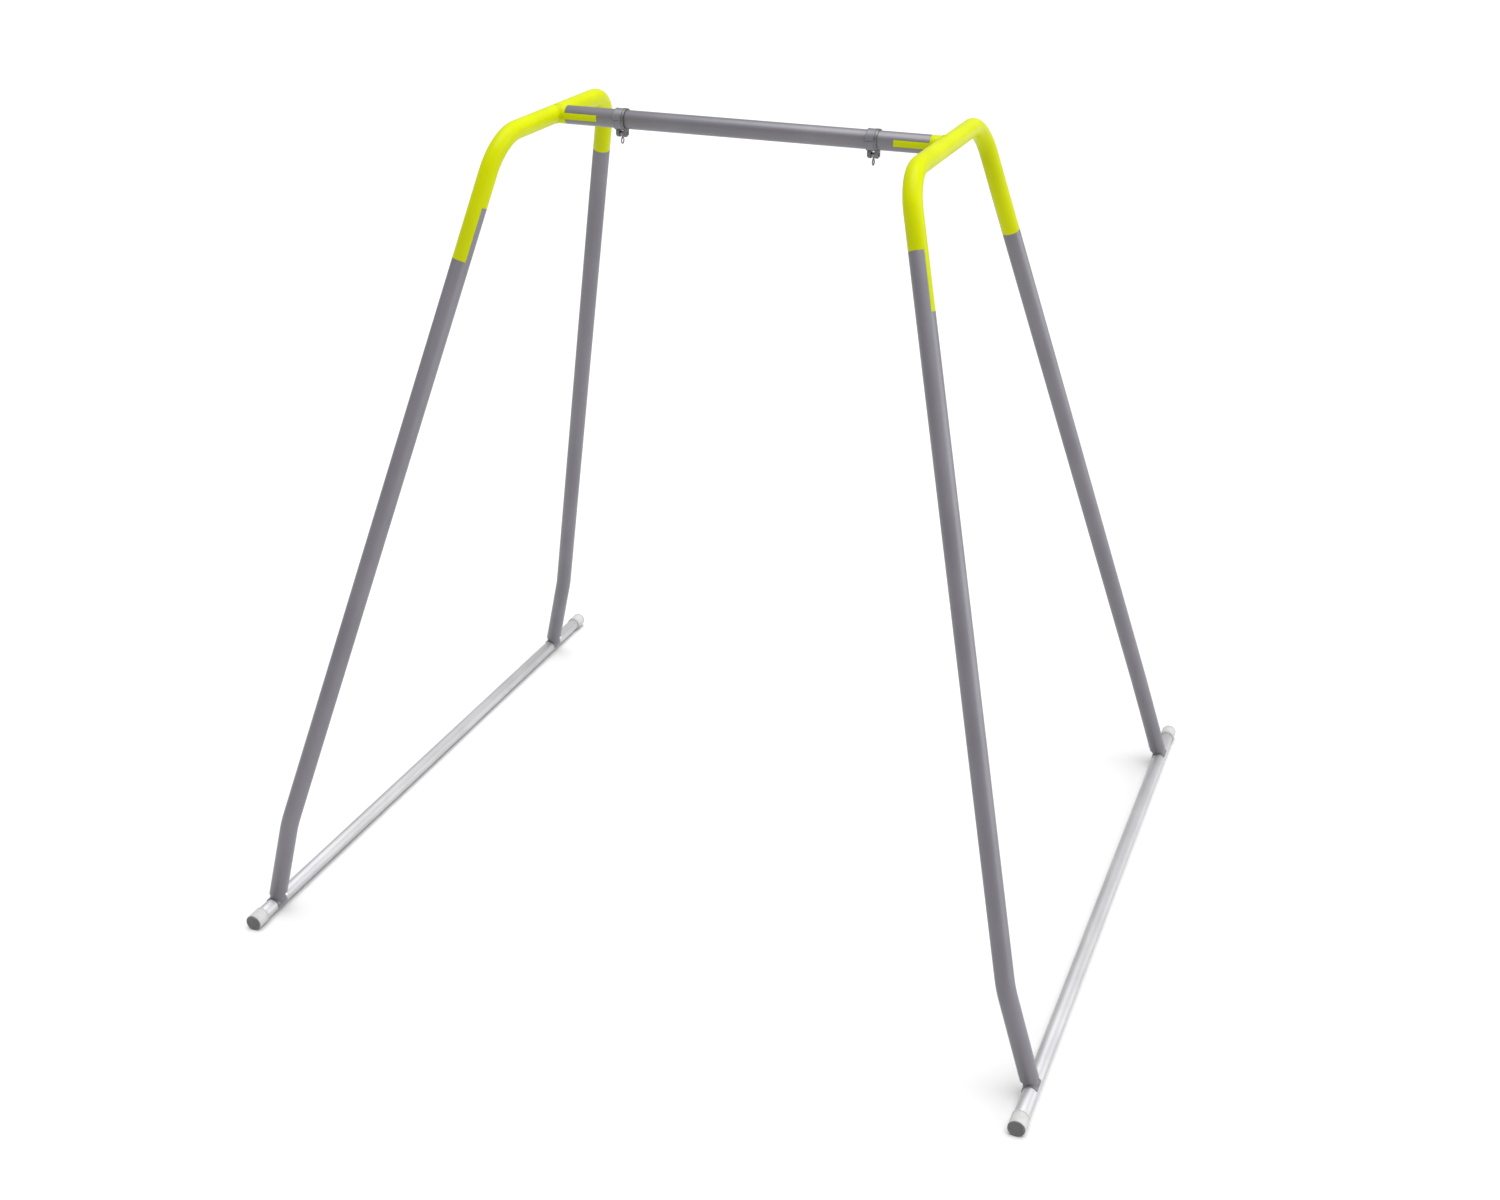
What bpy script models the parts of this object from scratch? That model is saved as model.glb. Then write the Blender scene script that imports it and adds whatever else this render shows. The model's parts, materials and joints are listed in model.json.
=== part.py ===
"""A free-standing tubular swing frame, made piece by piece for Blender 4.5.

Two coloured end arches carry one crossbar. Four bent legs plug onto the arches with stepped laps
and onto saddles that sit on two floor bars. Two hangers on the crossbar hold the swing's ropes.
Units are metres, +Z is up, X runs along the crossbar and Y runs from the front to the rear.
"""
from math import cos, pi, radians, sin, tan

import bmesh
import bpy
from mathutils import Matrix, Vector

# ---------------------------------------------------------------- driving dimensions
MM = 0.001
GAP = 0.3 * MM                     # clearance between pieces that touch

TUBE_RADIUS = 21.2 * MM            # arches, legs and crossbar: 42.4 mm tube
TUBE_WALL = 2.0 * MM
BAR_RADIUS = 16.85 * MM            # floor bars: 33.7 mm tube
BAR_WALL = 2.0 * MM

HEAD_Y = -50.0 * MM                # the crossbar stands this far forward of the middle
AXIS_HEIGHT = 1858.0 * MM          # arch and crossbar axis above the floor
ARCH_X = 468.5 * MM                # arch axis to the middle of the frame
CORNER_Y = 276.0 * MM              # arch corner to the crossbar
KINK_X = 887.5 * MM                # the leg's lower bend
KINK_Y = 743.0 * MM
KINK_Z = 268.0 * MM
FOOT_X = 959.5 * MM                # floor bar axis to the middle of the frame
FOOT_FRONT_Y = 737.0 * MM          # feet to the crossbar, front and rear
FOOT_REAR_Y = 787.0 * MM
FOOT_Z = 19.0 * MM                 # floor bar axis above the floor
ARCH_BEND = 106.0 * MM             # bend radii on the tube's axis
LEG_BEND = 150.0 * MM

RING_AT = 157.0 * MM               # lap joint, measured down the leg from the arch's corner
LAP_END = 283.0 * MM
LAP_ANGLE = 36.0                   # the lap's middle, in degrees out of the frame's Y direction
SLEEVE_RADIUS = 18.75 * MM
SLEEVE_WALL = 2.0 * MM
SLEEVE_FROM = 95.0 * MM
SLEEVE_TO = 350.0 * MM

STUB_END_X = 436.0 * MM            # the arch's welded stub, where the crossbar starts
KEY_END_X = 355.0 * MM             # its two flush keys run on into the crossbar
KEY_HALF_HEIGHT = 7.25 * MM

BAR_LENGTH = 1816.0 * MM
BAR_STAGGER = 19.0 * MM            # left bar pushed to the rear, right bar to the front
CAP_RADIUS = 19.6 * MM
CAP_LENGTH = 42.0 * MM
PLUG_FLANGE = 3.0 * MM

LEG_END = 27.0 * MM                # leg's lower end above the floor bar's axis, along the leg
SADDLE_LENGTH = 38.0 * MM
SADDLE_RADIUS = 18.9 * MM
SADDLE_WRAP = 100.0                # degrees from the top of the bar, down its inner side
SADDLE_OUTER_WRAP = 60.0           # and down its outer side
SPIGOT_TOP = 78.0 * MM
SPIGOT_BORE = 15.5 * MM
COLLAR_RADIUS = 17.2 * MM
BUTTON_AT = 37.0 * MM              # button axis above the bar's axis, along the leg
BUTTON_RADIUS = 4.0 * MM
BUTTON_PROUD = 3.5 * MM
BUTTON_TRAVEL = 4.5 * MM

HANGER_X = {"left": -299.0 * MM, "right": 305.0 * MM}
RING_RADIUS = 24.7 * MM
RING_FROM = -14.0 * MM             # along the crossbar, from the middle of the pin
RING_TO = 6.0 * MM
CHEEK_OUTER = 13.0 * MM
CHEEK_INNER = 4.5 * MM
CHEEK_RADIUS = 8.0 * MM
CHAMFER = (5.0 * MM, 2.5 * MM)     # outer lower corner: up the cheek, and along the pin
PIN_DROP = 32.5 * MM               # hanger pin axis below the crossbar's axis
PIN_RADIUS = 2.5 * MM
BUSH_RADIUS = 3.8 * MM
EYE_BARREL = 5.5 * MM
EYE_BORE = 4.2 * MM
EYE_HALF = 4.0 * MM
EYE_DROP = 16.0 * MM               # middle of the eye below the pin
EYE_RADIUS = 6.5 * MM              # on the wire's axis
EYE_WIRE = 1.5 * MM

TUBE_SIDES = 20
SMALL_SIDES = 12

SIDES = {"left": -1, "right": 1}
ENDS = {"front": -1, "rear": 1}

COLOURS = {                        # base colour, roughness, metallic
    "lime_paint": ((0.80, 0.86, 0.01), 0.35, 0.0),
    "grey_paint": ((0.17, 0.165, 0.185), 0.40, 0.3),
    "silver_tube": ((0.66, 0.66, 0.68), 0.35, 0.9),
    "cap_plastic": ((0.72, 0.72, 0.70), 0.50, 0.0),
    "plug_rubber": ((0.13, 0.13, 0.135), 0.70, 0.0),
    "zinc_steel": ((0.50, 0.50, 0.52), 0.40, 0.9),
    "bright_steel": ((0.80, 0.80, 0.80), 0.20, 1.0),
    "dark_steel": ((0.12, 0.12, 0.13), 0.45, 0.8),
    "bronze": ((0.45, 0.25, 0.16), 0.40, 0.9),
}


# ---------------------------------------------------------------- scene and materials
def clear_scene():
    for obj in list(bpy.data.objects):
        bpy.data.objects.remove(obj, do_unlink=True)


def make_collection(name):
    coll = bpy.data.collections.new(name)
    bpy.context.scene.collection.children.link(coll)
    return coll


def paint(obj, finish):
    """Each piece carries its own material."""
    colour, roughness, metallic = COLOURS[finish]
    mat = bpy.data.materials.new(obj.name + "_" + finish)
    mat.use_nodes = True
    shader = mat.node_tree.nodes["Principled BSDF"]
    shader.inputs["Base Color"].default_value = (*colour, 1.0)
    shader.inputs["Roughness"].default_value = roughness
    shader.inputs["Metallic"].default_value = metallic
    mat.diffuse_color = (*colour, 1.0)
    obj.data.materials.clear()
    obj.data.materials.append(mat)


def smooth(obj, angle=35.0):
    obj.data.shade_smooth()
    obj.data.set_sharp_from_angle(angle=radians(angle))


clear_scene()
PARTS = make_collection("swing_frame")
CUTTERS = make_collection("cutters")


def add_object(name, mesh, place, coll=None):
    obj = bpy.data.objects.new(name, mesh)
    (coll or PARTS).objects.link(obj)
    obj.matrix_world = place
    return obj


def mesh_from_bmesh(name, bm):
    mesh = bpy.data.meshes.new(name)
    bm.to_mesh(mesh)
    bm.free()
    return mesh


# ---------------------------------------------------------------- frames and paths
def frame_on_axis(origin, along, side):
    """A place whose Z axis lies along one direction and whose X axis leans towards another."""
    z = Vector(along).normalized()
    x = Vector(side) - z * Vector(side).dot(z)
    x.normalize()
    y = z.cross(x)
    place = Matrix((x, y, z)).transposed().to_4x4()
    place.translation = Vector(origin)
    return place


def rounded_path(points, radius, steps):
    """A polyline whose inner corners are arcs of the given radius."""
    path = [Vector(points[0])]
    for before, corner, after in zip(points, points[1:], points[2:]):
        corner = Vector(corner)
        back = (Vector(before) - corner).normalized()
        ahead = (Vector(after) - corner).normalized()
        half = back.angle(ahead) / 2
        centre = corner + (back + ahead).normalized() * (radius / sin(half))
        start = corner + back * (radius / tan(half)) - centre
        end = corner + ahead * (radius / tan(half)) - centre
        sweep = start.angle(end)
        for i in range(steps + 1):
            t = i / steps
            a = sin((1 - t) * sweep) / sin(sweep)
            b = sin(t * sweep) / sin(sweep)
            path.append(centre + start * a + end * b)
    path.append(Vector(points[-1]))
    return path


def stretched(path, extra):
    """The same path with both ends carried on in a straight line."""
    longer = list(path)
    longer[0] = path[0] + (path[0] - path[1]).normalized() * extra
    longer[-1] = path[-1] + (path[-1] - path[-2]).normalized() * extra
    return longer


def arch_corner(sx, sy):
    return Vector((sx * ARCH_X, HEAD_Y + sy * CORNER_Y, AXIS_HEIGHT))


def kink(sx, sy):
    return Vector((sx * KINK_X, HEAD_Y + sy * KINK_Y, KINK_Z))


def foot(sx, sy):
    reach = FOOT_FRONT_Y if sy < 0 else FOOT_REAR_Y
    return Vector((sx * FOOT_X, HEAD_Y + sy * reach, FOOT_Z))


def leg_direction(sx, sy):
    return (kink(sx, sy) - arch_corner(sx, sy)).normalized()


def lap_place(sx, sy):
    """Z runs down the leg from the arch's corner, and X points to the arch's half of the lap."""
    outwards = sin(radians(LAP_ANGLE))
    sideways = cos(radians(LAP_ANGLE))
    side = (sx * outwards, -sx * sy * sideways, 0.0)
    return frame_on_axis(arch_corner(sx, sy), leg_direction(sx, sy), side)


def foot_place(sx, sy):
    """Z runs up the leg from the floor bar's axis, and X points to the inside of the frame."""
    up = kink(sx, sy) - foot(sx, sy)
    return frame_on_axis(foot(sx, sy), up, (-sx, 0.0, 0.0))


# ---------------------------------------------------------------- basic solids
def swept_mesh(name, path, radius, sides, cyclic=False):
    """A round bar along a path, as a closed mesh."""
    curve = bpy.data.curves.new(name + "_curve", "CURVE")
    curve.dimensions = "3D"
    curve.bevel_depth = radius
    curve.bevel_resolution = sides // 2 - 2
    curve.use_fill_caps = not cyclic
    spline = curve.splines.new("POLY")
    spline.points.add(len(path) - 1)
    for point, place in zip(spline.points, path):
        point.co = (*place, 1.0)
    spline.use_cyclic_u = cyclic
    obj = bpy.data.objects.new(name + "_curve", curve)
    bpy.context.scene.collection.objects.link(obj)
    bpy.context.view_layer.update()
    seen = obj.evaluated_get(bpy.context.evaluated_depsgraph_get())
    mesh = bpy.data.meshes.new_from_object(seen)
    mesh.name = name
    bpy.data.objects.remove(obj, do_unlink=True)
    bm = bmesh.new()
    bm.from_mesh(mesh)
    bmesh.ops.remove_doubles(bm, verts=bm.verts, dist=0.01 * MM)
    bmesh.ops.recalc_face_normals(bm, faces=bm.faces)
    bm.to_mesh(mesh)
    bm.free()
    return mesh


def rod_mesh(name, radius, low, high, sides=SMALL_SIDES, place=None):
    """A plain round rod along Z between two heights."""
    bm = bmesh.new()
    middle = Matrix.Translation((0, 0, (low + high) / 2))
    bmesh.ops.create_cone(bm, cap_ends=True, segments=sides, radius1=radius, radius2=radius,
                          depth=high - low, matrix=(place or Matrix()) @ middle)
    return mesh_from_bmesh(name, bm)


def block_mesh(name, low, high):
    """A box between two corners."""
    low = Vector(low)
    high = Vector(high)
    bm = bmesh.new()
    size = Matrix.Diagonal((*(high - low), 1.0))
    bmesh.ops.create_cube(bm, size=1.0, matrix=Matrix.Translation((low + high) / 2) @ size)
    return mesh_from_bmesh(name, bm)


def turned(name, profile, place, sides=SMALL_SIDES, closed=False):
    """A lathe shape: (radius, height) points that run down the outer side, spun about Z."""
    bm = bmesh.new()
    verts = [bm.verts.new((r, 0.0, z)) for r, z in profile]
    for a, b in zip(verts, verts[1:]):
        bm.edges.new((a, b))
    if closed:
        bm.edges.new((verts[-1], verts[0]))
    obj = add_object(name, mesh_from_bmesh(name, bm), place)
    screw = obj.modifiers.new("spin", "SCREW")
    screw.steps = sides
    screw.render_steps = sides
    screw.use_merge_vertices = True
    screw.merge_threshold = 0.01 * MM
    screw.use_smooth_shade = True
    return obj


def turned_tube(name, outer, wall, low, high, place, sides=TUBE_SIDES):
    inner = outer - wall
    profile = [(outer, high), (outer, low), (inner, low), (inner, high)]
    return turned(name, profile, place, sides, closed=True)


def cut(obj, cutter_name, mesh, place, operation="DIFFERENCE"):
    """Cuts or joins one shape; the other shape is kept beside the parts as a wire cutter."""
    cutter = add_object(cutter_name, mesh, place, CUTTERS)
    cutter.hide_render = True
    cutter.display_type = "WIRE"
    boolean = obj.modifiers.new(cutter_name, "BOOLEAN")
    boolean.operation = operation
    boolean.solver = "EXACT"
    boolean.object = cutter
    return cutter


# ---------------------------------------------------------------- the end arches
def arch_path(sx):
    corners = [arch_corner(sx, -1), arch_corner(sx, 1)]
    front = corners[0] + leg_direction(sx, -1) * LAP_END
    rear = corners[1] + leg_direction(sx, 1) * LAP_END
    return rounded_path([front, *corners, rear], ARCH_BEND, 6)


def make_arch(side, sx):
    """One bent tube with a stub for the crossbar and half-round tongues for its two legs."""
    name = "arch_" + side
    path = arch_path(sx)
    arch = add_object(name, swept_mesh(name, path, TUBE_RADIUS, TUBE_SIDES), Matrix())
    inwards = frame_on_axis((sx * ARCH_X, HEAD_Y, AXIS_HEIGHT), (-sx, 0, 0), (0, 0, 1))
    stub = rod_mesh(name + "_stub", TUBE_RADIUS, 0.0, ARCH_X - KEY_END_X, TUBE_SIDES)
    cut(arch, name + "_stub", stub, inwards, "UNION")
    bore_radius = TUBE_RADIUS - TUBE_WALL
    bore = swept_mesh(name + "_bore", stretched(path, 5 * MM), bore_radius, TUBE_SIDES)
    cut(arch, name + "_bore", bore, Matrix())
    bore = rod_mesh(name + "_stub_bore", bore_radius, TUBE_RADIUS + 1 * MM, 0.2, TUBE_SIDES)
    cut(arch, name + "_stub_bore", bore, inwards)
    for key, sz in (("upper", 1), ("lower", -1)):
        low = (KEY_HALF_HEIGHT, -0.03, ARCH_X - STUB_END_X)
        high = (0.03, 0.03, 0.2)
        flip = Matrix.Rotation(0.0 if sz > 0 else pi, 4, "Z")
        block = block_mesh(name + "_key_" + key, low, high)
        cut(arch, name + "_key_" + key, block, inwards @ flip)
    for end, sy in ENDS.items():
        block = block_mesh(name + "_lap_" + end, (-0.03, -0.03, RING_AT), (0.0, 0.03, 0.3))
        cut(arch, name + "_lap_" + end, block, lap_place(sx, sy))
    smooth(arch)
    paint(arch, "lime_paint")


# ---------------------------------------------------------------- legs and their lap sleeves
def make_leg(end, sy, side, sx):
    """A bent tube that laps the arch at the top and slips over the saddle at the bottom."""
    name = "leg_" + end + "_" + side
    top = arch_corner(sx, sy) + leg_direction(sx, sy) * (RING_AT + GAP)
    up = (kink(sx, sy) - foot(sx, sy)).normalized()
    bottom = foot(sx, sy) + up * LEG_END
    path = rounded_path([top, kink(sx, sy), bottom], LEG_BEND, 4)
    leg = add_object(name, swept_mesh(name, path, TUBE_RADIUS, TUBE_SIDES), Matrix())
    bore_radius = TUBE_RADIUS - TUBE_WALL
    bore = swept_mesh(name + "_bore", stretched(path, 5 * MM), bore_radius, TUBE_SIDES)
    cut(leg, name + "_bore", bore, Matrix())
    block = block_mesh(name + "_lap", (-GAP, -0.03, RING_AT - 5 * MM), (0.03, 0.03, LAP_END + GAP))
    cut(leg, name + "_lap", block, lap_place(sx, sy))
    cut_button_hole(leg, name, sx, sy, 0.0, 0.03)
    smooth(leg)
    paint(leg, "grey_paint")


def make_leg_sleeve(end, sy, side, sx):
    name = "lap_sleeve_" + end + "_" + side
    sleeve = turned_tube(name, SLEEVE_RADIUS, SLEEVE_WALL, SLEEVE_FROM, SLEEVE_TO,
                         lap_place(sx, sy), sides=16)
    smooth(sleeve)
    paint(sleeve, "zinc_steel")


# ---------------------------------------------------------------- crossbar
def make_crossbar():
    """A straight tube with two open slots in each end for the arches' keys."""
    along = frame_on_axis((0, HEAD_Y, AXIS_HEIGHT), (1, 0, 0), (0, 0, 1))
    half = STUB_END_X - GAP
    bar = turned_tube("crossbar", TUBE_RADIUS, TUBE_WALL, -half, half, along)
    for side, sx in SIDES.items():
        slot_height = KEY_HALF_HEIGHT + GAP
        start, stop = sorted((sx * (KEY_END_X - GAP), sx * (half + 5 * MM)))
        block = block_mesh("crossbar_slots_" + side, (-slot_height, -0.03, start),
                           (slot_height, 0.03, stop))
        cut(bar, "crossbar_slots_" + side, block, along)
        name = "crossbar_sleeve_" + side
        inwards = frame_on_axis((sx * ARCH_X, HEAD_Y, AXIS_HEIGHT), (-sx, 0, 0), (0, 0, 1))
        sleeve = turned_tube(name, SLEEVE_RADIUS, SLEEVE_WALL, TUBE_RADIUS + 2 * MM, 190 * MM,
                             inwards, sides=16)
        smooth(sleeve)
        paint(sleeve, "zinc_steel")
    smooth(bar)
    paint(bar, "grey_paint")


# ---------------------------------------------------------------- feet
def cut_button_hole(obj, name, sx, sy, start, stop):
    """A round hole for the snap button, through the wall on the inner side."""
    hole = rod_mesh(name + "_button_hole", BUTTON_RADIUS + GAP, start, stop)
    cut(obj, name + "_button_hole", hole, button_place(sx, sy))


def button_place(sx, sy):
    """Z points out of the leg towards the inside of the frame."""
    place = foot_place(sx, sy)
    centre = place @ Vector((0, 0, BUTTON_AT))
    return frame_on_axis(centre, place.col[0].to_3d(), place.col[2].to_3d())


def make_saddle(end, sy, side, sx):
    """A half sleeve over the floor bar with a hollow spigot that the leg slips over."""
    name = "foot_saddle_" + end + "_" + side
    place = foot_place(sx, sy)
    profile = [(0, SPIGOT_TOP), (SLEEVE_RADIUS - 1 * MM, SPIGOT_TOP),
               (SLEEVE_RADIUS, SPIGOT_TOP - 3 * MM), (SLEEVE_RADIUS, LEG_END - 2 * MM),
               (COLLAR_RADIUS, LEG_END - 4 * MM), (COLLAR_RADIUS, 4 * MM), (0, 4 * MM)]
    saddle = turned(name, profile, place, sides=16)
    around = frame_on_axis(foot(sx, sy), (0, 1, 0), (0, 0, 1))
    half = SADDLE_LENGTH / 2
    sleeve = rod_mesh(name + "_sleeve", SADDLE_RADIUS, -half, half, TUBE_SIDES)
    cut(saddle, name + "_sleeve", sleeve, around, "UNION")
    bar = rod_mesh(name + "_bar", BAR_RADIUS + GAP, -0.05, 0.05, TUBE_SIDES)
    cut(saddle, name + "_bar", bar, around)
    lip = SADDLE_RADIUS * cos(radians(SADDLE_WRAP))
    block = block_mesh(name + "_lip", (-0.03, -0.03, -0.05), (lip, 0.03, 0.05))
    cut(saddle, name + "_lip", block, around)
    lip = SADDLE_RADIUS * cos(radians(SADDLE_OUTER_WRAP))
    low, high = sorted((0.0, sx * 0.03))
    block = block_mesh(name + "_outer_lip", (-0.03, low, -0.05), (lip, high, 0.05))
    cut(saddle, name + "_outer_lip", block, around)
    bore = rod_mesh(name + "_bore", SPIGOT_BORE, LEG_END - 3 * MM, SPIGOT_TOP + 5 * MM)
    cut(saddle, name + "_bore", bore, place)
    cut_button_hole(saddle, name, sx, sy, 0.0, 0.03)
    smooth(saddle)
    paint(saddle, "grey_paint")


def make_button(end, sy, side, sx):
    """A domed snap button with an inner flange that stops it falling out of the leg."""
    name = "snap_button_" + end + "_" + side
    tip = TUBE_RADIUS + BUTTON_PROUD
    dome = [(BUTTON_RADIUS * sin(a), tip - 3 * MM + 3 * MM * cos(a))
            for a in (radians(x) for x in (0, 25, 50, 72, 90))]
    profile = dome + [(BUTTON_RADIUS, 10.5 * MM), (6 * MM, 10.5 * MM), (6 * MM, 8.5 * MM),
                      (0, 8.5 * MM)]
    button = turned(name, profile, button_place(sx, sy))
    smooth(button)
    paint(button, "bright_steel")


def make_button_spring(end, sy, side, sx):
    """A hairpin of strip steel that stands in the spigot behind the button."""
    name = "button_spring_" + end + "_" + side
    far, near, radius = -8.0 * MM, 7.8 * MM, 7.9 * MM
    steps = 8
    points = [(far, -11 * MM)]
    for i in range(steps + 1):
        a = pi - pi * i / steps
        points.append(((far + near) / 2 + radius * cos(a), 22 * MM + radius * sin(a)))
    points.append((near, -9 * MM))
    bm = bmesh.new()
    rows = [[bm.verts.new((z, y, x)) for x, z in points] for y in (-4 * MM, 4 * MM)]
    for a, b, c, d in zip(rows[0], rows[0][1:], rows[1][1:], rows[1]):
        bm.faces.new((a, b, c, d))
    spring = add_object(name, mesh_from_bmesh(name, bm), button_place(sx, sy))
    solid = spring.modifiers.new("strip", "SOLIDIFY")
    solid.thickness = 0.8 * MM
    solid.offset = 0.0
    smooth(spring)
    paint(spring, "dark_steel")


# ---------------------------------------------------------------- floor bars and their ends
def bar_middle(sx):
    return -sx * BAR_STAGGER


def make_floor_bar(side, sx):
    name = "floor_bar_" + side
    place = frame_on_axis((sx * FOOT_X, bar_middle(sx), FOOT_Z), (0, 1, 0), (0, 0, 1))
    half = BAR_LENGTH / 2 - PLUG_FLANGE - GAP
    bar = turned_tube(name, BAR_RADIUS, BAR_WALL, -half, half, place)
    smooth(bar)
    paint(bar, "silver_tube")


def end_place(sx, sy):
    """Z points out of the bar's end, and its origin is the outermost face."""
    tip = (sx * FOOT_X, bar_middle(sx) + sy * BAR_LENGTH / 2, FOOT_Z)
    return frame_on_axis(tip, (0, sy, 0), (0, 0, 1))


def trim_to_floor(obj):
    """A flat on the underside, level with the floor, so that the piece stands still."""
    block = block_mesh(obj.name + "_floor", (-1.2, -1.2, -0.03), (1.2, 1.2, 0.0))
    cut(obj, obj.name + "_floor", block, Matrix())


def make_end_cap(end, sy, side, sx):
    """A moulded collar pressed over the floor bar's end; the frame stands on four of them."""
    name = "end_cap_" + end + "_" + side
    inner = BAR_RADIUS + GAP
    top = -PLUG_FLANGE - GAP
    profile = [(CAP_RADIUS - 0.4 * MM, top), (CAP_RADIUS, top - 1 * MM),
               (CAP_RADIUS, -CAP_LENGTH + 1 * MM), (CAP_RADIUS - 1 * MM, -CAP_LENGTH),
               (inner, -CAP_LENGTH), (inner, top)]
    cap = turned(name, profile, end_place(sx, sy), TUBE_SIDES, closed=True)
    trim_to_floor(cap)
    smooth(cap)
    paint(cap, "cap_plastic")


def make_end_plug(end, sy, side, sx):
    """A dark insert with a flange that closes the collar and a ribbed stem inside the bar."""
    name = "end_plug_" + end + "_" + side
    stem = BAR_RADIUS - BAR_WALL - GAP
    flange = CAP_RADIUS - 0.4 * MM
    profile = [(0, 0), (flange - 2 * MM, 0), (flange, -1.2 * MM), (flange, -PLUG_FLANGE),
               (stem, -PLUG_FLANGE)]
    for rib in range(3):
        z = -PLUG_FLANGE - (5 + 7 * rib) * MM
        profile += [(stem, z), (stem - 1.5 * MM, z - 1 * MM), (stem - 1.5 * MM, z - 4 * MM),
                    (stem, z - 5 * MM)]
    profile += [(stem - 1.5 * MM, -28 * MM), (0, -28 * MM)]
    plug = turned(name, profile, end_place(sx, sy), TUBE_SIDES)
    trim_to_floor(plug)
    smooth(plug)
    paint(plug, "plug_rubber")


# ---------------------------------------------------------------- hangers
def hanger_empties(side, sx):
    """One empty on the crossbar's axis and one on the pin's axis carry the hanger's pieces."""
    slide = bpy.data.objects.new("hanger_axis_" + side, None)
    PARTS.objects.link(slide)
    slide.matrix_world = frame_on_axis((HANGER_X[side], HEAD_Y, AXIS_HEIGHT), (1, 0, 0), (0, 0, 1))
    pivot = bpy.data.objects.new("pin_axis_" + side, None)
    PARTS.objects.link(pivot)
    pivot.parent = slide
    pivot.location = (-PIN_DROP, 0, 0)
    bpy.context.view_layer.update()
    return slide, pivot


def hang_on(obj, parent):
    """Puts a piece, made in its parent's axes, onto that parent."""
    obj.matrix_world = parent.matrix_world.copy()
    place = obj.matrix_world.copy()
    obj.parent = parent
    obj.matrix_parent_inverse = parent.matrix_world.inverted()
    obj.matrix_world = place


def cheek_mesh(name, near, far):
    """A hanging block between two places along the pin, round about the pin at its lower end."""
    outline = [(-CHEEK_RADIUS * cos(a), CHEEK_RADIUS * sin(a))
               for a in (radians(x) for x in range(90, -91, -20))]
    top = PIN_DROP - 22 * MM
    outline += [(top, -CHEEK_RADIUS), (top, CHEEK_RADIUS)]
    bm = bmesh.new()
    rows = [[bm.verts.new((x, y, z)) for x, y in outline] for z in (near, far)]
    bm.faces.new(rows[0])
    bm.faces.new(list(reversed(rows[1])))
    count = len(outline)
    for i in range(count):
        j = (i + 1) % count
        bm.faces.new((rows[0][j], rows[0][i], rows[1][i], rows[1][j]))
    bmesh.ops.recalc_face_normals(bm, faces=bm.faces)
    return mesh_from_bmesh(name, bm)


def finish_cheek(obj, pivot, way):
    """The pin's hole and the chamfer on the cheek's outer lower corner."""
    hole = rod_mesh(obj.name + "_pin_hole", PIN_RADIUS + GAP, -0.03, 0.03)
    cut(obj, obj.name + "_pin_hole", hole, pivot.matrix_world)
    up, along = CHAMFER
    corner = pivot.matrix_world @ Vector((-CHEEK_RADIUS, 0, way * (CHEEK_OUTER - along)))
    turn = pivot.matrix_world.to_3x3()
    facing = turn @ Vector((-along, 0, way * up))
    wedge = block_mesh(obj.name + "_chamfer", (-0.03, -0.03, 0), (0.03, 0.03, 0.03))
    cut(obj, obj.name + "_chamfer", wedge, frame_on_axis(corner, facing, (0, 1, 0)))
    smooth(obj)
    paint(obj, "dark_steel")


def make_hanger(side, sx):
    """A grey ring with a dark cheek below it, and a dark strap that carries the other cheek."""
    slide, pivot = hanger_empties(side, sx)
    wall = RING_RADIUS - TUBE_RADIUS - GAP
    ring = turned_tube("hanger_ring_" + side, RING_RADIUS, wall, RING_FROM, RING_TO, Matrix())
    hang_on(ring, slide)
    smooth(ring)
    paint(ring, "grey_paint")
    mesh = cheek_mesh("hanger_cheek_" + side, -CHEEK_OUTER, -CHEEK_INNER)
    cheek = add_object("hanger_cheek_" + side, mesh, Matrix())
    hang_on(cheek, pivot)
    clear = rod_mesh(cheek.name + "_ring", RING_RADIUS + GAP, -0.03, 0.03, TUBE_SIDES)
    cut(cheek, cheek.name + "_ring", clear, slide.matrix_world)
    finish_cheek(cheek, pivot, -1)
    make_strap(side, slide, pivot)
    make_pin(side, pivot)
    make_link(side, pivot)


def make_strap(side, slide, pivot):
    name = "hanger_strap_" + side
    start = RING_TO + GAP
    solid = rod_mesh(name, RING_RADIUS, start, CHEEK_OUTER, TUBE_SIDES)
    strap = add_object(name, solid, Matrix())
    hang_on(strap, slide)
    mesh = cheek_mesh(name + "_cheek", CHEEK_INNER, CHEEK_OUTER)
    cut(strap, name + "_cheek", mesh, pivot.matrix_world, "UNION")
    bore = rod_mesh(name + "_bore", TUBE_RADIUS + GAP, -0.03, 0.03, TUBE_SIDES)
    cut(strap, name + "_bore", bore, slide.matrix_world)
    clear = rod_mesh(name + "_ring", RING_RADIUS + GAP, -0.03, start, TUBE_SIDES)
    cut(strap, name + "_ring", clear, slide.matrix_world)
    upright = Matrix.Rotation(pi / 2, 4, "Y")
    middle = Matrix.Translation((0, 0, (start + CHEEK_OUTER) / 2))
    tapped = rod_mesh(name + "_screw_hole", 2.0 * MM, 15 * MM, 30 * MM)
    cut(strap, name + "_screw_hole", tapped, slide.matrix_world @ middle @ upright)
    finish_cheek(strap, pivot, 1)
    make_set_screw(side, slide, middle @ upright)


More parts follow.
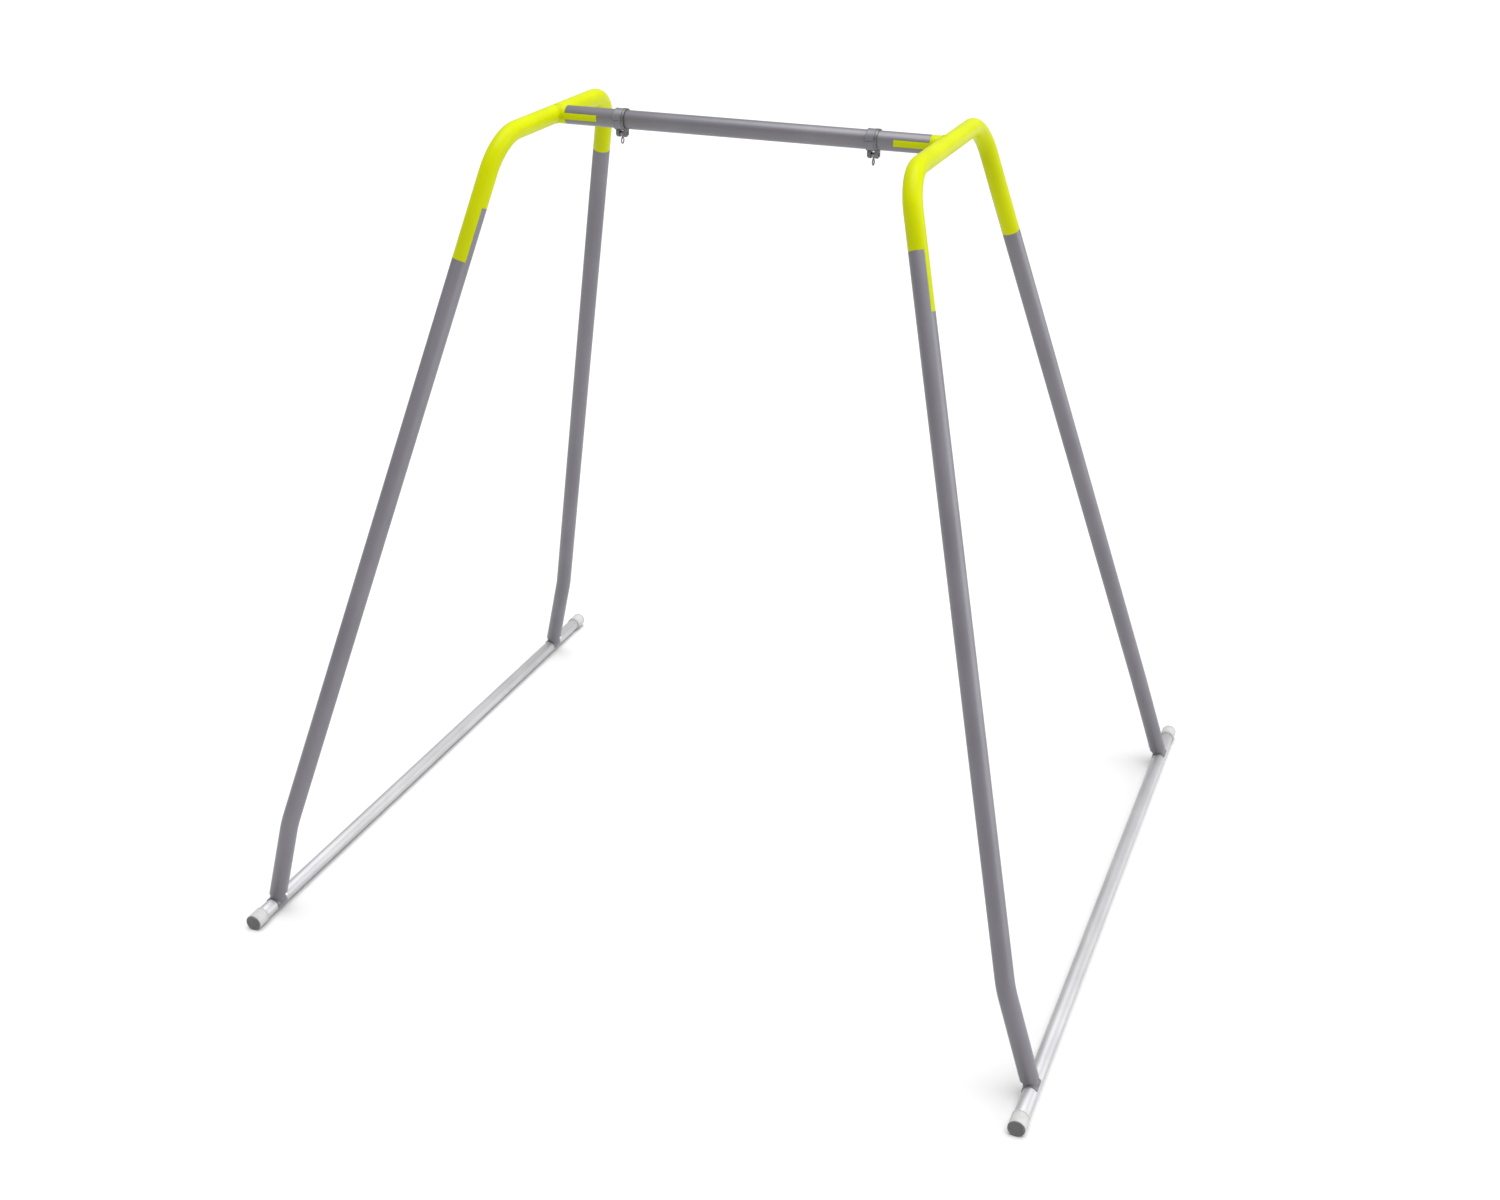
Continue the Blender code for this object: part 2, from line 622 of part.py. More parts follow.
def make_set_screw(side, slide, offset):
    """A socket screw that locks the hanger to the crossbar."""
    low = TUBE_RADIUS + GAP
    top = RING_RADIUS + 0.6 * MM
    profile = [(0.9 * MM, top), (1.4 * MM, top), (1.7 * MM, top - 0.3 * MM), (1.7 * MM, low),
               (0, low), (0, top - 2 * MM), (0.9 * MM, top - 2 * MM)]
    screw = turned("set_screw_" + side, profile, Matrix(), SMALL_SIDES, closed=True)
    hang_on(screw, slide)
    screw.matrix_world = slide.matrix_world @ offset
    smooth(screw)
    paint(screw, "dark_steel")


def make_pin(side, pivot):
    """The headed clevis pin, the ring that keeps it in and the bush that the eye turns on."""
    head = CHEEK_OUTER + GAP
    end = head + 1.6 * MM
    profile = [(0, end), (PIN_RADIUS - 0.5 * MM, end), (PIN_RADIUS, end - 0.5 * MM),
               (PIN_RADIUS, -head), (4 * MM, -head), (4 * MM, -head - 0.6 * MM),
               (3 * MM, -head - 1.2 * MM), (0, -head - 1.2 * MM)]
    pin = turned("hanger_pin_" + side, profile, Matrix())
    hang_on(pin, pivot)
    smooth(pin)
    paint(pin, "zinc_steel")
    wall = 4 * MM - PIN_RADIUS - 0.1 * MM
    keeper = turned_tube("pin_keeper_" + side, 4 * MM, wall, head, head + 1 * MM, Matrix(),
                         SMALL_SIDES)
    hang_on(keeper, pivot)
    smooth(keeper)
    paint(keeper, "dark_steel")
    reach = CHEEK_INNER - GAP
    bush = turned_tube("pin_bush_" + side, BUSH_RADIUS, BUSH_RADIUS - PIN_RADIUS - GAP, -reach,
                       reach, Matrix(), SMALL_SIDES)
    hang_on(bush, pivot)
    smooth(bush)
    paint(bush, "bronze")


def make_link(side, pivot):
    """An eye on a short neck that turns on the bush; the rope's hook clips into it."""
    name = "hanger_link_" + side
    link = turned_tube(name, EYE_BARREL, EYE_BARREL - EYE_BORE, -EYE_HALF, EYE_HALF, Matrix(),
                       SMALL_SIDES)
    hang_on(link, pivot)
    downwards = Matrix.Rotation(-pi / 2, 4, "Y")
    neck = rod_mesh(name + "_neck", 2.2 * MM, EYE_BORE + 0.4 * MM, EYE_DROP - EYE_RADIUS)
    cut(link, name + "_neck", neck, pivot.matrix_world @ downwards, "UNION")
    steps = 24
    path = []
    for i in range(steps):
        a = 2 * pi * i / steps
        path.append((EYE_RADIUS * cos(a) - EYE_DROP, EYE_RADIUS * sin(a), 0.0))
    ring = swept_mesh(name + "_ring", path, EYE_WIRE, 10, cyclic=True)
    cut(link, name + "_ring", ring, pivot.matrix_world, "UNION")
    smooth(link)
    paint(link, "zinc_steel")


# ---------------------------------------------------------------- the whole frame
def build():
    make_crossbar()
    for side, sx in SIDES.items():
        make_arch(side, sx)
        make_floor_bar(side, sx)
        make_hanger(side, sx)
        for end, sy in ENDS.items():
            make_leg(end, sy, side, sx)
            make_leg_sleeve(end, sy, side, sx)
            make_saddle(end, sy, side, sx)
            make_button(end, sy, side, sx)
            make_button_spring(end, sy, side, sx)
            make_end_cap(end, sy, side, sx)
            make_end_plug(end, sy, side, sx)


build()
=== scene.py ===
# %% [markdown]
# # A swing frame, piece by piece
#
# Two lime arches carry a grey crossbar, four bent grey legs plug onto the arches, and the legs
# stand on two silver floor bars. Two small hangers on the crossbar end in eyes for the ropes.
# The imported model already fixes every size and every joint. This lesson loads it, measures it,
# builds finer pieces in the same places, and gives each piece a finish made of shader nodes.

import json
from bisect import bisect_right
from math import cos, degrees, pi, radians, sin, sqrt, tan

import bmesh
import bpy
import numpy as np
from mathutils import Matrix, Vector


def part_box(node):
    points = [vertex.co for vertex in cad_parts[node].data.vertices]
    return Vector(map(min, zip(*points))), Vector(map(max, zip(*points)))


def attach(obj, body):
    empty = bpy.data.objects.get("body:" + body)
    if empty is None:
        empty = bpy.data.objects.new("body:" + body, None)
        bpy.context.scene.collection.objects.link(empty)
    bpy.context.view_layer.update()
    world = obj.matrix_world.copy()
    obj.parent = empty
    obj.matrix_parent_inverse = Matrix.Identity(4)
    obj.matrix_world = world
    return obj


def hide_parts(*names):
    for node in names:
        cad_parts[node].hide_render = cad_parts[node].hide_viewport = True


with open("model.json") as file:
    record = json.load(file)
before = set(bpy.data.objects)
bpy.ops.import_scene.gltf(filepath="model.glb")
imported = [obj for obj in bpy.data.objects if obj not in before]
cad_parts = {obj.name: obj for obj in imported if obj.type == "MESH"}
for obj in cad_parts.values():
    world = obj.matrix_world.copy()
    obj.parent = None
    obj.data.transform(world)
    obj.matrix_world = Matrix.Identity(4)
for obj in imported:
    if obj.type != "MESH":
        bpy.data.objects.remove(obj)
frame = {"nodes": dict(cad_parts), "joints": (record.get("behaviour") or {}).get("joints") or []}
nodes = frame["nodes"]
joints = {joint["name"]: joint for joint in frame["joints"]}
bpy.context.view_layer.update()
MM = 0.001
SIDES = {"left": -1, "right": 1}
ENDS = {"front": -1, "rear": 1}

# %% [markdown]
# ## Honest colours
#
# Blender's default view softens bright colours until a lime yellow turns to cream. The plain
# view shows each colour as it is mixed, which suits a clean studio look on white.

# %% Plain view
bpy.context.scene.view_settings.view_transform = "Standard"
print("view:", bpy.context.scene.view_settings.view_transform)

# %% [markdown]
# ## The camera
#
# The camera stands in front and to the right, nearly a metre above the crossbar, and looks down
# at the whole frame. It could be aimed with a tracking constraint, but three plain turns,
# sideways, down and a trace of roll, say exactly the same and are easy to read back.

# %% Camera
CAMERA_PLACE = Vector((1.5585, -4.0175, 2.7321))
CAMERA_TURN = radians(21.23)
CAMERA_DOWN = radians(25.58)
CAMERA_ROLL = radians(0.13)
FOCAL_LENGTH = 45.36
SENSOR_WIDTH = 36.0

camera = bpy.data.objects.new("camera", bpy.data.cameras.new("camera"))
camera.data.lens = FOCAL_LENGTH
camera.data.sensor_width = SENSOR_WIDTH
aim = Matrix.Rotation(CAMERA_TURN, 4, "Z") @ Matrix.Rotation(pi / 2 - CAMERA_DOWN, 4, "X")
aim = aim @ Matrix.Rotation(CAMERA_ROLL, 4, "Z")
camera.matrix_world = Matrix.Translation(CAMERA_PLACE) @ aim
bpy.context.scene.collection.objects.link(camera)
bpy.context.scene.camera = camera
print("the camera is", round(CAMERA_PLACE.length, 2), "metres from the middle of the floor")

# %% [markdown]
# ## Reading the frame
#
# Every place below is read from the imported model: a straight tube's box gives its axis and its
# radius, and a slanted sleeve's axis is the longest direction of its points. Only what a box
# can't say, such as a bend's radius or a wall's thickness, is written down as a size.

# %% The straight tubes
crossbar_low, crossbar_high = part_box("crossbar")
HEAD = (crossbar_low + crossbar_high) / 2
TUBE_RADIUS = (crossbar_high.z - crossbar_low.z) / 2
BAR_BOXES = {side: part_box("floor_bar_" + side) for side in SIDES}
BAR_RADIUS = (BAR_BOXES["left"][1].x - BAR_BOXES["left"][0].x) / 2
TUBE_WALL = 2.0 * MM
GAP = 0.3 * MM
print("tube radius", round(TUBE_RADIUS / MM, 2), "mm, bar radius", round(BAR_RADIUS / MM, 2), "mm")

# %% The slanted legs
KINK_HEIGHT = 268.0 * MM


def axis_of(node):
    """The centre line of a straight round node: its middle, and its direction downwards."""
    points = np.array([v.co for v in nodes[node].data.vertices])
    middle = points.mean(axis=0)
    along = Vector(np.linalg.svd(points - middle)[2][0])
    return Vector(middle), along * (-1 if along.z > 0 else 1)


def at_height(middle, along, height):
    """The point of a slanted line at one height."""
    return middle + along * ((height - middle.z) / along.z)


def foot_of(end, side):
    """Where the leg's axis meets the floor bar's, below the middle of the saddle."""
    low, high = BAR_BOXES[side]
    saddle = nodes[f"foot_saddle_{end}_{side}"].data.vertices
    reach = [v.co.y for v in saddle if v.co.z < (low.z + high.z) / 2]
    return Vector(((low.x + high.x) / 2, (min(reach) + max(reach)) / 2, (low.z + high.z) / 2))


CORNERS = [(end, side) for side in SIDES for end in ENDS]
LEGS = {}
for end, side in CORNERS:
    line = axis_of(f"lap_sleeve_{end}_{side}")
    corner, kink = at_height(*line, HEAD.z), at_height(*line, KINK_HEIGHT)
    LEGS[end, side] = {"corner": corner, "kink": kink, "foot": foot_of(end, side)}
    print(end, side, "corner", corner.to_tuple(4), "kink", kink.to_tuple(4))

# %% [markdown]
# ## Tools for bent tubes
#
# A bent tube is one round section carried along a centre line. A curve object with a bevel
# could do that, but a small class that gives a place at any distance lets the same few lines
# make tubes, bores and turned parts, with a ring of points just where each is wanted.


# %% Places
def place_on(origin, along, side):
    """A place whose Z axis lies along one direction and whose X axis leans towards another."""
    z = Vector(along).normalized()
    x = (Vector(side) - z * Vector(side).dot(z)).normalized()
    place = Matrix((x, z.cross(x), z)).transposed().to_4x4()
    place.translation = Vector(origin)
    return place


def bent_line(points, radius, steps):
    """A line through points whose inner corners are arcs of one radius."""
    line = [Vector(points[0])]
    for before, corner, after in zip(points, points[1:], points[2:]):
        back = (before - corner).normalized()
        ahead = (after - corner).normalized()
        half = back.angle(ahead) / 2
        centre = corner + (back + ahead).normalized() * (radius / sin(half))
        start = corner + back * (radius / tan(half)) - centre
        end = corner + ahead * (radius / tan(half)) - centre
        sweep = start.angle(end)
        for i in range(steps + 1):
            t = i / steps
            line.append(centre + (start * sin((1 - t) * sweep) + end * sin(t * sweep)) / sin(sweep))
    line.append(Vector(points[-1]))
    return line


TEST_BEND = [Vector((0, 0, 1)), Vector((0, 0, 0)), Vector((1, 0, 0))]
print("a test bend has", len(bent_line(TEST_BEND, 0.1, 6)), "points")


# %% Spine
class Spine:
    """A centre line that gives a place, a point with three axes, at any distance along it."""

    def __init__(self, points, side=(1, 0, 0)):
        steps = [b - a for a, b in zip(points, points[1:])]
        self.points = points
        self.side = side
        self.headings = [step.normalized() for step in steps]
        self.marks = [0.0]
        for step in steps:
            self.marks.append(self.marks[-1] + step.length)
        self.length = self.marks[-1]

    def place(self, distance):
        hair = 1e-6
        last = len(self.headings) - 1
        i = min(max(bisect_right(self.marks, distance + hair) - 1, 0), last)
        heading = self.headings[i].copy()
        if i > 0 and abs(distance - self.marks[i]) < hair:
            heading += self.headings[i - 1]
        origin = self.points[i] + self.headings[i] * (distance - self.marks[i])
        return place_on(origin, heading, self.side)


test_spine = Spine(bent_line(TEST_BEND, 0.1, 6))
print("the test bend is", round(test_spine.length, 3), "metres long, not 2, as it cuts the corner")


# %% Skins
def as_object(name, bm):
    """Turns the mesh in the making into an object of the scene, with its faces outwards."""
    bmesh.ops.recalc_face_normals(bm, faces=bm.faces)
    mesh = bpy.data.meshes.new(name)
    bm.to_mesh(mesh)
    bm.free()
    obj = bpy.data.objects.new(name, mesh)
    bpy.context.scene.collection.objects.link(obj)
    return obj


def skin(name, outline, place_at, sides, closed=False):
    """Rings of points, one for each (distance, radius) of the outline, joined by faces."""
    bm = bmesh.new()
    rows = []
    for distance, radius in outline:
        place = place_at(distance)
        count = sides if radius > 0 else 1
        turns = [2 * pi * i / sides for i in range(count)]
        ring = [place @ Vector((radius * cos(a), radius * sin(a), 0)) for a in turns]
        rows.append([bm.verts.new(point) for point in ring])
    pairs = list(zip(rows, rows[1:]))
    if closed:
        pairs.append((rows[-1], rows[0]))
    for upper, lower in pairs:
        for i in range(sides):
            j = (i + 1) % sides
            loop = [upper[i % len(upper)], upper[j % len(upper)]]
            loop += [lower[j % len(lower)], lower[i % len(lower)]]
            loop = list(dict.fromkeys(loop))
            if len(loop) > 2:
                bm.faces.new(loop)
    return as_object(name, bm)


print("each ring of a skin joins the next, and a closed skin joins the last to the first")

# %% Round shapes
TUBE_SIDES = 64


def tube(name, spine, outer):
    """A hollow tube, open at both ends."""
    marks, inner = spine.marks, outer - TUBE_WALL
    outline = [(mark, outer) for mark in marks] + [(mark, inner) for mark in marks[::-1]]
    return skin(name, outline, spine.place, TUBE_SIDES, closed=True)


def turned(name, place, outline, sides, closed=False):
    """A lathe shape about the place's Z axis, from (height, radius) points."""
    return skin(name, outline, lambda h: place @ Matrix.Translation((0, 0, h)), sides, closed)


def drill(name, place, radius, low, high, sides):
    """A solid round bar from one height to another, to cut a hole with."""
    return turned(name, place, [(low, 0), (low, radius), (high, radius), (high, 0)], sides)


def band(name, place, inner, outer, low, high, sides):
    """A plain round band, hollow in the middle."""
    outline = [(low, inner), (low, outer), (high, outer), (high, inner)]
    return turned(name, place, outline, sides, closed=True)


def arc(centre, radius, start, stop, steps=6):
    """Points (height, radius) on an arc, from one angle to another in degrees."""
    turns = [radians(start + (stop - start) * i / steps) for i in range(steps + 1)]
    return [(centre[0] + radius * sin(a), centre[1] + radius * cos(a)) for a in turns]


def in_mm(*points):
    """Points (height, radius) that are written in millimetres."""
    return [(height * MM, radius * MM) for height, radius in points]


print("a quarter round of 1 mm ends at", [round(x / MM, 3) for x in arc((0, 0), MM, 0, 90)[-1]])


# %% Flat-sided shapes
def block(name, place, low, high):
    """A box between two corners, in the axes of its place."""
    low, high = Vector(low), Vector(high)
    bm = bmesh.new()
    size = Matrix.Diagonal((*(high - low), 1.0))
    bmesh.ops.create_cube(bm, matrix=place @ Matrix.Translation((low + high) / 2) @ size)
    return as_object(name, bm)


def prism(name, place, section, low, high):
    """A flat outline, pulled from one height to another."""
    bm = bmesh.new()
    rows = [[bm.verts.new(place @ Vector((x, y, z))) for x, y in section] for z in (low, high)]
    bm.faces.new(rows[0])
    bm.faces.new(rows[1][::-1])
    for i in range(len(section)):
        j = (i + 1) % len(section)
        bm.faces.new((rows[0][j], rows[0][i], rows[1][i], rows[1][j]))
    return as_object(name, bm)


print("flat-sided shapes: a block from two corners, a prism from an outline")

# %% [markdown]
# ## Cutting, easing and joining
#
# Laps, slots, bores and button holes are cut with exact booleans, because a saw and a drill
# made them on the real frame. No sawn edge stays razor sharp after it has been tumbled and
# powder coated, so each piece then has its edges eased by a fine bevel that catches the light.

# %% Cutting and easing
REACH = 30.0 * MM
LONG = 0.3


def settle(obj):
    """Applies the modifiers, so that the next step works on a plain mesh."""
    bpy.context.view_layer.update()
    seen = obj.evaluated_get(bpy.context.evaluated_depsgraph_get())
    mesh = bpy.data.meshes.new_from_object(seen)
    obj.modifiers.clear()
    obj.data = mesh


def carve(obj, tool, operation="DIFFERENCE"):
    """Cuts or joins one shape for good, and removes the tool."""
    boolean = obj.modifiers.new("carve", "BOOLEAN")
    boolean.operation = operation
    boolean.solver = "EXACT"
    boolean.object = tool
    settle(obj)
    bpy.data.objects.remove(tool, do_unlink=True)


def ease(obj, width, segments=2, angle=40.0):
    """Rounds every edge that is sharper than an angle, in degrees."""
    bevel = obj.modifiers.new("ease", "BEVEL")
    bevel.width = width
    bevel.segments = segments
    bevel.limit_method = "ANGLE"
    bevel.angle_limit = radians(angle)
    settle(obj)


print("cutting tools reach", REACH, "metres across a tube and", LONG, "metres along it")

# %% Shells and weld beads
BEAD_SIDES = 10
BEAD_SWELL = 0.10


def add_to(obj, other):
    """Puts another shell into the same piece."""
    bm = bmesh.new()
    bm.from_mesh(obj.data)
    bm.from_mesh(other.data)
    bm.to_mesh(obj.data)
    bm.free()
    bpy.data.objects.remove(other, do_unlink=True)


def bead(name, points, radius, outwards, ripples):
    """A weld bead around a closed line of points, with the ripples of its pools."""
    bm = bmesh.new()
    rows = []
    count = len(points)
    turns = [2 * pi * k / BEAD_SIDES for k in range(BEAD_SIDES)]
    for i, point in enumerate(points):
        ahead = points[(i + 1) % count] - points[i - 1]
        swell = radius * (1 + BEAD_SWELL * cos(2 * pi * ripples * i / count))
        place = place_on(point, ahead, outwards(point))
        ring = [place @ Vector((swell * cos(a), swell * sin(a), 0)) for a in turns]
        rows.append([bm.verts.new(spot) for spot in ring])
    for upper, lower in zip(rows, rows[1:] + rows[:1]):
        for k in range(BEAD_SIDES):
            m = (k + 1) % BEAD_SIDES
            bm.faces.new((upper[k], upper[m], lower[m], lower[k]))
    return as_object(name, bm)


print("a weld bead has", BEAD_SIDES, "sides and swells by", BEAD_SWELL)

# %% [markdown]
# ## Shader maths as plain sums
#
# A finish is worked out from masks: how near an edge is, how a noise rises and falls. Each step
# could be wired by hand, but a small class that wraps a socket and overloads the operators lets
# `1 - mask * 0.3` add its own Math nodes, and one method adds every other kind of node.


# %% Wire
class Wire:
    """A value on its way through a material; sums on it add Math nodes."""

    def __init__(self, finish, socket):
        self.finish = finish
        self.socket = socket

    def sum(self, operation, a, b):
        return self.finish.node("Math", {"operation": operation}, {0: a, 1: b})

    def __add__(self, other):
        return self.sum("ADD", self, other)

    def __sub__(self, other):
        return self.sum("SUBTRACT", self, other)

    def __rsub__(self, other):
        return self.sum("SUBTRACT", other, self)

    def __mul__(self, other):
        return self.sum("MULTIPLY", self, other)

    __radd__ = __add__
    __rmul__ = __mul__

    def step(self, low, high):
        """Rises smoothly from 0 to 1 between two values."""
        settings = {"interpolation_type": "SMOOTHSTEP"}
        return self.finish.node("MapRange", settings, {0: self, 1: low, 2: high})


# %% Finish
FINISHES = {}


class Finish:
    """A material in the making: its shader, and the one method that adds nodes."""

    def __init__(self, name, **sockets):
        self.material = bpy.data.materials.new(name)
        self.material.use_nodes = True
        self.tree = self.material.node_tree
        self.shader = self.tree.nodes["Principled BSDF"]
        self.where = self.node("TexCoord", output="Object")
        self.set(**sockets)
        FINISHES[name] = self.material

    def plug(self, socket, value):
        if isinstance(value, Wire):
            self.tree.links.new(value.socket, socket)
        else:
            socket.default_value = value

    def set(self, **sockets):
        """Fills the shader's sockets: Base_Color stands for Base Color."""
        for name, value in sockets.items():
            self.plug(self.shader.inputs[name.replace("_", " ")], value)

    def node(self, kind, settings=None, sockets=None, output=0):
        node = self.tree.nodes.new("ShaderNode" + kind)
        for name, value in (settings or {}).items():
            setattr(node, name, value)
        for name, value in (sockets or {}).items():
            self.plug(node.inputs[name], value)
        return Wire(self, node.outputs[output])

    def noise(self, scale, stretch=(1, 1, 1), detail=2.0, roughness=0.5):
        """Cloudy noise with so many clouds to the metre, drawn out along an axis if wanted."""
        spot = self.node("VectorMath", {"operation": "MULTIPLY"}, {0: self.where, 1: stretch})
        sockets = {"Vector": spot, "Scale": scale, "Detail": detail, "Roughness": roughness}
        return self.node("TexNoise", None, sockets)

    def cells(self, scale, output="Distance"):
        return self.node("TexVoronoi", None, {"Vector": self.where, "Scale": scale}, output)

    def blend(self, mask, a, b):
        """A colour between two, by a mask."""
        return self.node("Mix", {"data_type": "RGBA"}, {0: mask, 6: a, 7: b}, output=2)

    def edge(self, radius):
        """Near 1 on edges, where a rounded normal turns away from the true one."""
        rounded = self.node("Bevel", {"samples": 4}, {"Radius": radius})
        flat = self.node("NewGeometry", output="Normal")
        settings = {"operation": "DOT_PRODUCT"}
        same = self.node("VectorMath", settings, {0: rounded, 1: flat}, output="Value")
        return (1 - same).step(0.03, 0.25)

    def bump(self, height, depth):
        return self.node("Bump", None, {"Height": height, "Distance": depth, "Strength": 1.0})


def grey(level, tint=1.0):
    return (level, level, level * tint, 1.0)


# %% [markdown]
# ## Lime powder coat
#
# The arches are powder coated in a strong lime yellow. Baked powder flows out into the fine
# ripple of orange peel, a clear skin lies over it, and the coat thins to its primer on the
# sharpest edges. Three sizes of noise give the drift of the colour, the peel and the specks.

# %% Lime powder coat
LIME = (0.53, 0.58, 0.0, 1.0)
LIME_DEEP = (0.42, 0.48, 0.0, 1.0)
PRIMER = (0.45, 0.47, 0.30, 1.0)

lime = Finish("lime_paint", Coat_Weight=0.06, Coat_Roughness=0.12, Specular_IOR_Level=0.06)
drift = lime.noise(9, detail=3)
speck = lime.noise(1400, detail=1)
peel = lime.noise(420, detail=2)
worn = lime.edge(0.9 * MM) * lime.noise(160, detail=4).step(0.50, 0.62)
deeper = drift.step(0.30, 0.75) * 0.45 + speck.step(0.62, 0.72) * 0.25
body_colour = lime.blend(deeper, LIME, LIME_DEEP)
lime.set(
    Base_Color=lime.blend(worn * 0.7, body_colour, PRIMER),
    Roughness=0.30 + peel * 0.10 + worn * 0.25,
    Normal=lime.bump(peel * 0.8 + speck * 0.2, 0.10 * MM),
)
print("lime powder coat has", len(lime.tree.nodes), "nodes")

# %% [markdown]
# ## Grey powder coat
#
# The legs, the crossbar and the saddles have a cool grey coat with fine metal flake in it.
# A cell texture gives each flake its own brightness, and the flake stays below a matt skin, so
# the tubes have broad, soft highlights. Rubbed edges show the bright zinc below the paint.

# %% Grey powder coat
GREY = (0.155, 0.150, 0.169, 1.0)
GREY_LIGHT = (0.207, 0.200, 0.223, 1.0)
ZINC_BELOW = (0.42, 0.42, 0.44, 1.0)

slate = Finish("grey_paint", Coat_Weight=0.15, Coat_Roughness=0.30)
drift = slate.noise(7, detail=3)
flake = slate.cells(1500, "Color")
glint = slate.node("SeparateColor", None, {0: flake}, output=0)
peel = slate.noise(500, detail=2)
rub = slate.noise(60, detail=5)
worn = slate.edge(0.9 * MM) * rub.step(0.46, 0.60)
body_colour = slate.blend(drift.step(0.30, 0.72) * 0.40 + glint * 0.45, GREY, GREY_LIGHT)
slate.set(
    Base_Color=slate.blend(worn * 0.75, body_colour, ZINC_BELOW),
    Metallic=0.30 + glint * 0.15 + worn * 0.4,
    Roughness=0.44 + peel * 0.10 - glint * 0.06,
    Normal=slate.bump(peel * 0.9 + glint * 0.1, 0.08 * MM),
)
print("grey powder coat has", len(slate.tree.nodes), "nodes")

# %% [markdown]
# ## Bright floor bars
#
# The floor bars are drawn tube with a bright finish. Drawing through a die leaves fine lines
# along the bar, so the noise is stretched along Y until it turns into streaks. Cloudy patches
# dull the shine, and the underside, which lies on the ground, is scuffed.

# %% Bright drawn tube
SILVER = grey(0.55, 1.03)
SILVER_DULL = grey(0.40, 1.04)

silver = Finish("silver_tube", Metallic=0.75)
lines = silver.noise(1100, stretch=(1, 0.012, 1), detail=3)
clouds = silver.noise(14, stretch=(1, 0.4, 1), detail=4)
height = silver.node("SeparateXYZ", None, {0: silver.where}, output="Z")
low_down = 1 - height.step(3 * MM, 9 * MM)
scuff = low_down * silver.noise(90, stretch=(1, 0.3, 1), detail=5).step(0.45, 0.65)
tone = clouds.step(0.35, 0.70) * 0.45 + lines.step(0.45, 0.75) * 0.25
silver.set(
    Base_Color=silver.blend(scuff * 0.6 + tone, SILVER, SILVER_DULL),
    Roughness=0.42 + lines * 0.14 + clouds * 0.08 + scuff * 0.20,
    Normal=silver.bump(lines, 0.02 * MM),
)
print("bright tube has", len(silver.tree.nodes), "nodes")

# %% [markdown]
# ## Moulded ends
#
# The floor bars end in pale moulded collars with dark plugs. Moulded plastic carries the fine
# spark grain of its tool, and rubber gathers pale dust in its hollows. Both get their grain
# from very fine noise, and the collars are scuffed where they stand on the floor.

# %% Collar plastic and plug rubber
collar = Finish("cap_plastic", Metallic=0.0, Specular_IOR_Level=0.4)
grain = collar.noise(2600, detail=1)
tone = collar.noise(40, detail=3)
height = collar.node("SeparateXYZ", None, {0: collar.where}, output="Z")
scuff = (1 - height.step(1 * MM, 6 * MM)) * collar.noise(220, detail=4).step(0.40, 0.60)
rubbed = collar.edge(0.8 * MM) * tone.step(0.40, 0.60)
pale = collar.blend(tone.step(0.35, 0.70) * 0.6, grey(0.46, 0.99), grey(0.39, 0.99))
collar.set(
    Base_Color=collar.blend(scuff * 0.7 + rubbed * 0.25, pale, grey(0.30)),
    Roughness=0.42 + grain * 0.16 + scuff * 0.15,
    Normal=collar.bump(grain, 0.05 * MM),
)

rubber = Finish("plug_rubber", Metallic=0.0, Specular_IOR_Level=0.35)
grain = rubber.noise(1800, detail=2)
dust = rubber.noise(130, detail=5).step(0.50, 0.72)
rubbed = rubber.edge(0.7 * MM)
rubber.set(
    Base_Color=rubber.blend(dust * 0.35 + rubbed * 0.25, grey(0.125, 1.03), grey(0.30)),
    Roughness=0.62 + grain * 0.18,
    Normal=rubber.bump(grain, 0.07 * MM),
)
print("collar and plug have", len(collar.tree.nodes) + len(rubber.tree.nodes), "nodes")

# %% [markdown]
# ## Small metal
#
# The eyes and sleeves are zinc plated, which shows as a faint spangle of crystals. The hanger's
# cheeks and screws are blackened steel that brightens where it is handled, the bushes are
# bearing bronze with a brown tarnish, and the snap buttons are polished by thumbs.


# %% Small metal finishes
def small_metal(name, bright, dark, roughness, spangle, wear_colour, wear):
    """A plated or blackened metal: crystals, clouds, and edges worn to another colour."""
    metal = Finish(name, Metallic=1.0)
    crystal = metal.cells(spangle, "Color")
    facet = metal.node("SeparateColor", None, {0: crystal}, output=0)
    cloud = metal.noise(180, detail=4)
    scratch = metal.noise(900, stretch=(0.05, 1, 1), detail=2)
    worn = metal.edge(0.5 * MM) * cloud.step(0.35, 0.55)
    tone = metal.blend(facet * 0.5 + cloud.step(0.35, 0.70) * 0.5, bright, dark)
    metal.set(
        Base_Color=metal.blend(worn * wear, tone, wear_colour),
        Roughness=roughness + facet * 0.08 + scratch * 0.12,
        Normal=metal.bump(scratch * 0.5 + cloud * 0.5, 0.02 * MM),
    )
    return metal


small_metal("zinc_steel", grey(0.27, 1.03), grey(0.19, 1.04), 0.34, 600, grey(0.60), 0.5)
small_metal("dark_steel", grey(0.20, 1.03), grey(0.13, 1.04), 0.42, 900, grey(0.34), 0.6)
BRONZE = (0.62, 0.40, 0.28, 1.0)
TARNISH = (0.36, 0.22, 0.15, 1.0)
POLISHED_BRONZE = (0.72, 0.50, 0.36, 1.0)
small_metal("bronze", BRONZE, TARNISH, 0.32, 700, POLISHED_BRONZE, 0.6)
small_metal("bright_steel", grey(0.95), grey(0.86), 0.26, 300, grey(0.90), 0.4)
print("finishes:", sorted(FINISHES))


# %% Dress a piece
def dress(piece, body, finish, *replaced, angle=32.0):
    """Smooths a piece, paints it, and ties it to the body it moves with."""
    piece.data.shade_smooth()
    piece.data.set_sharp_from_angle(angle=radians(angle))
    piece.data.materials.clear()
    piece.data.materials.append(FINISHES[finish])
    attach(piece, body)
    if replaced:
        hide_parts(*replaced)
    return piece


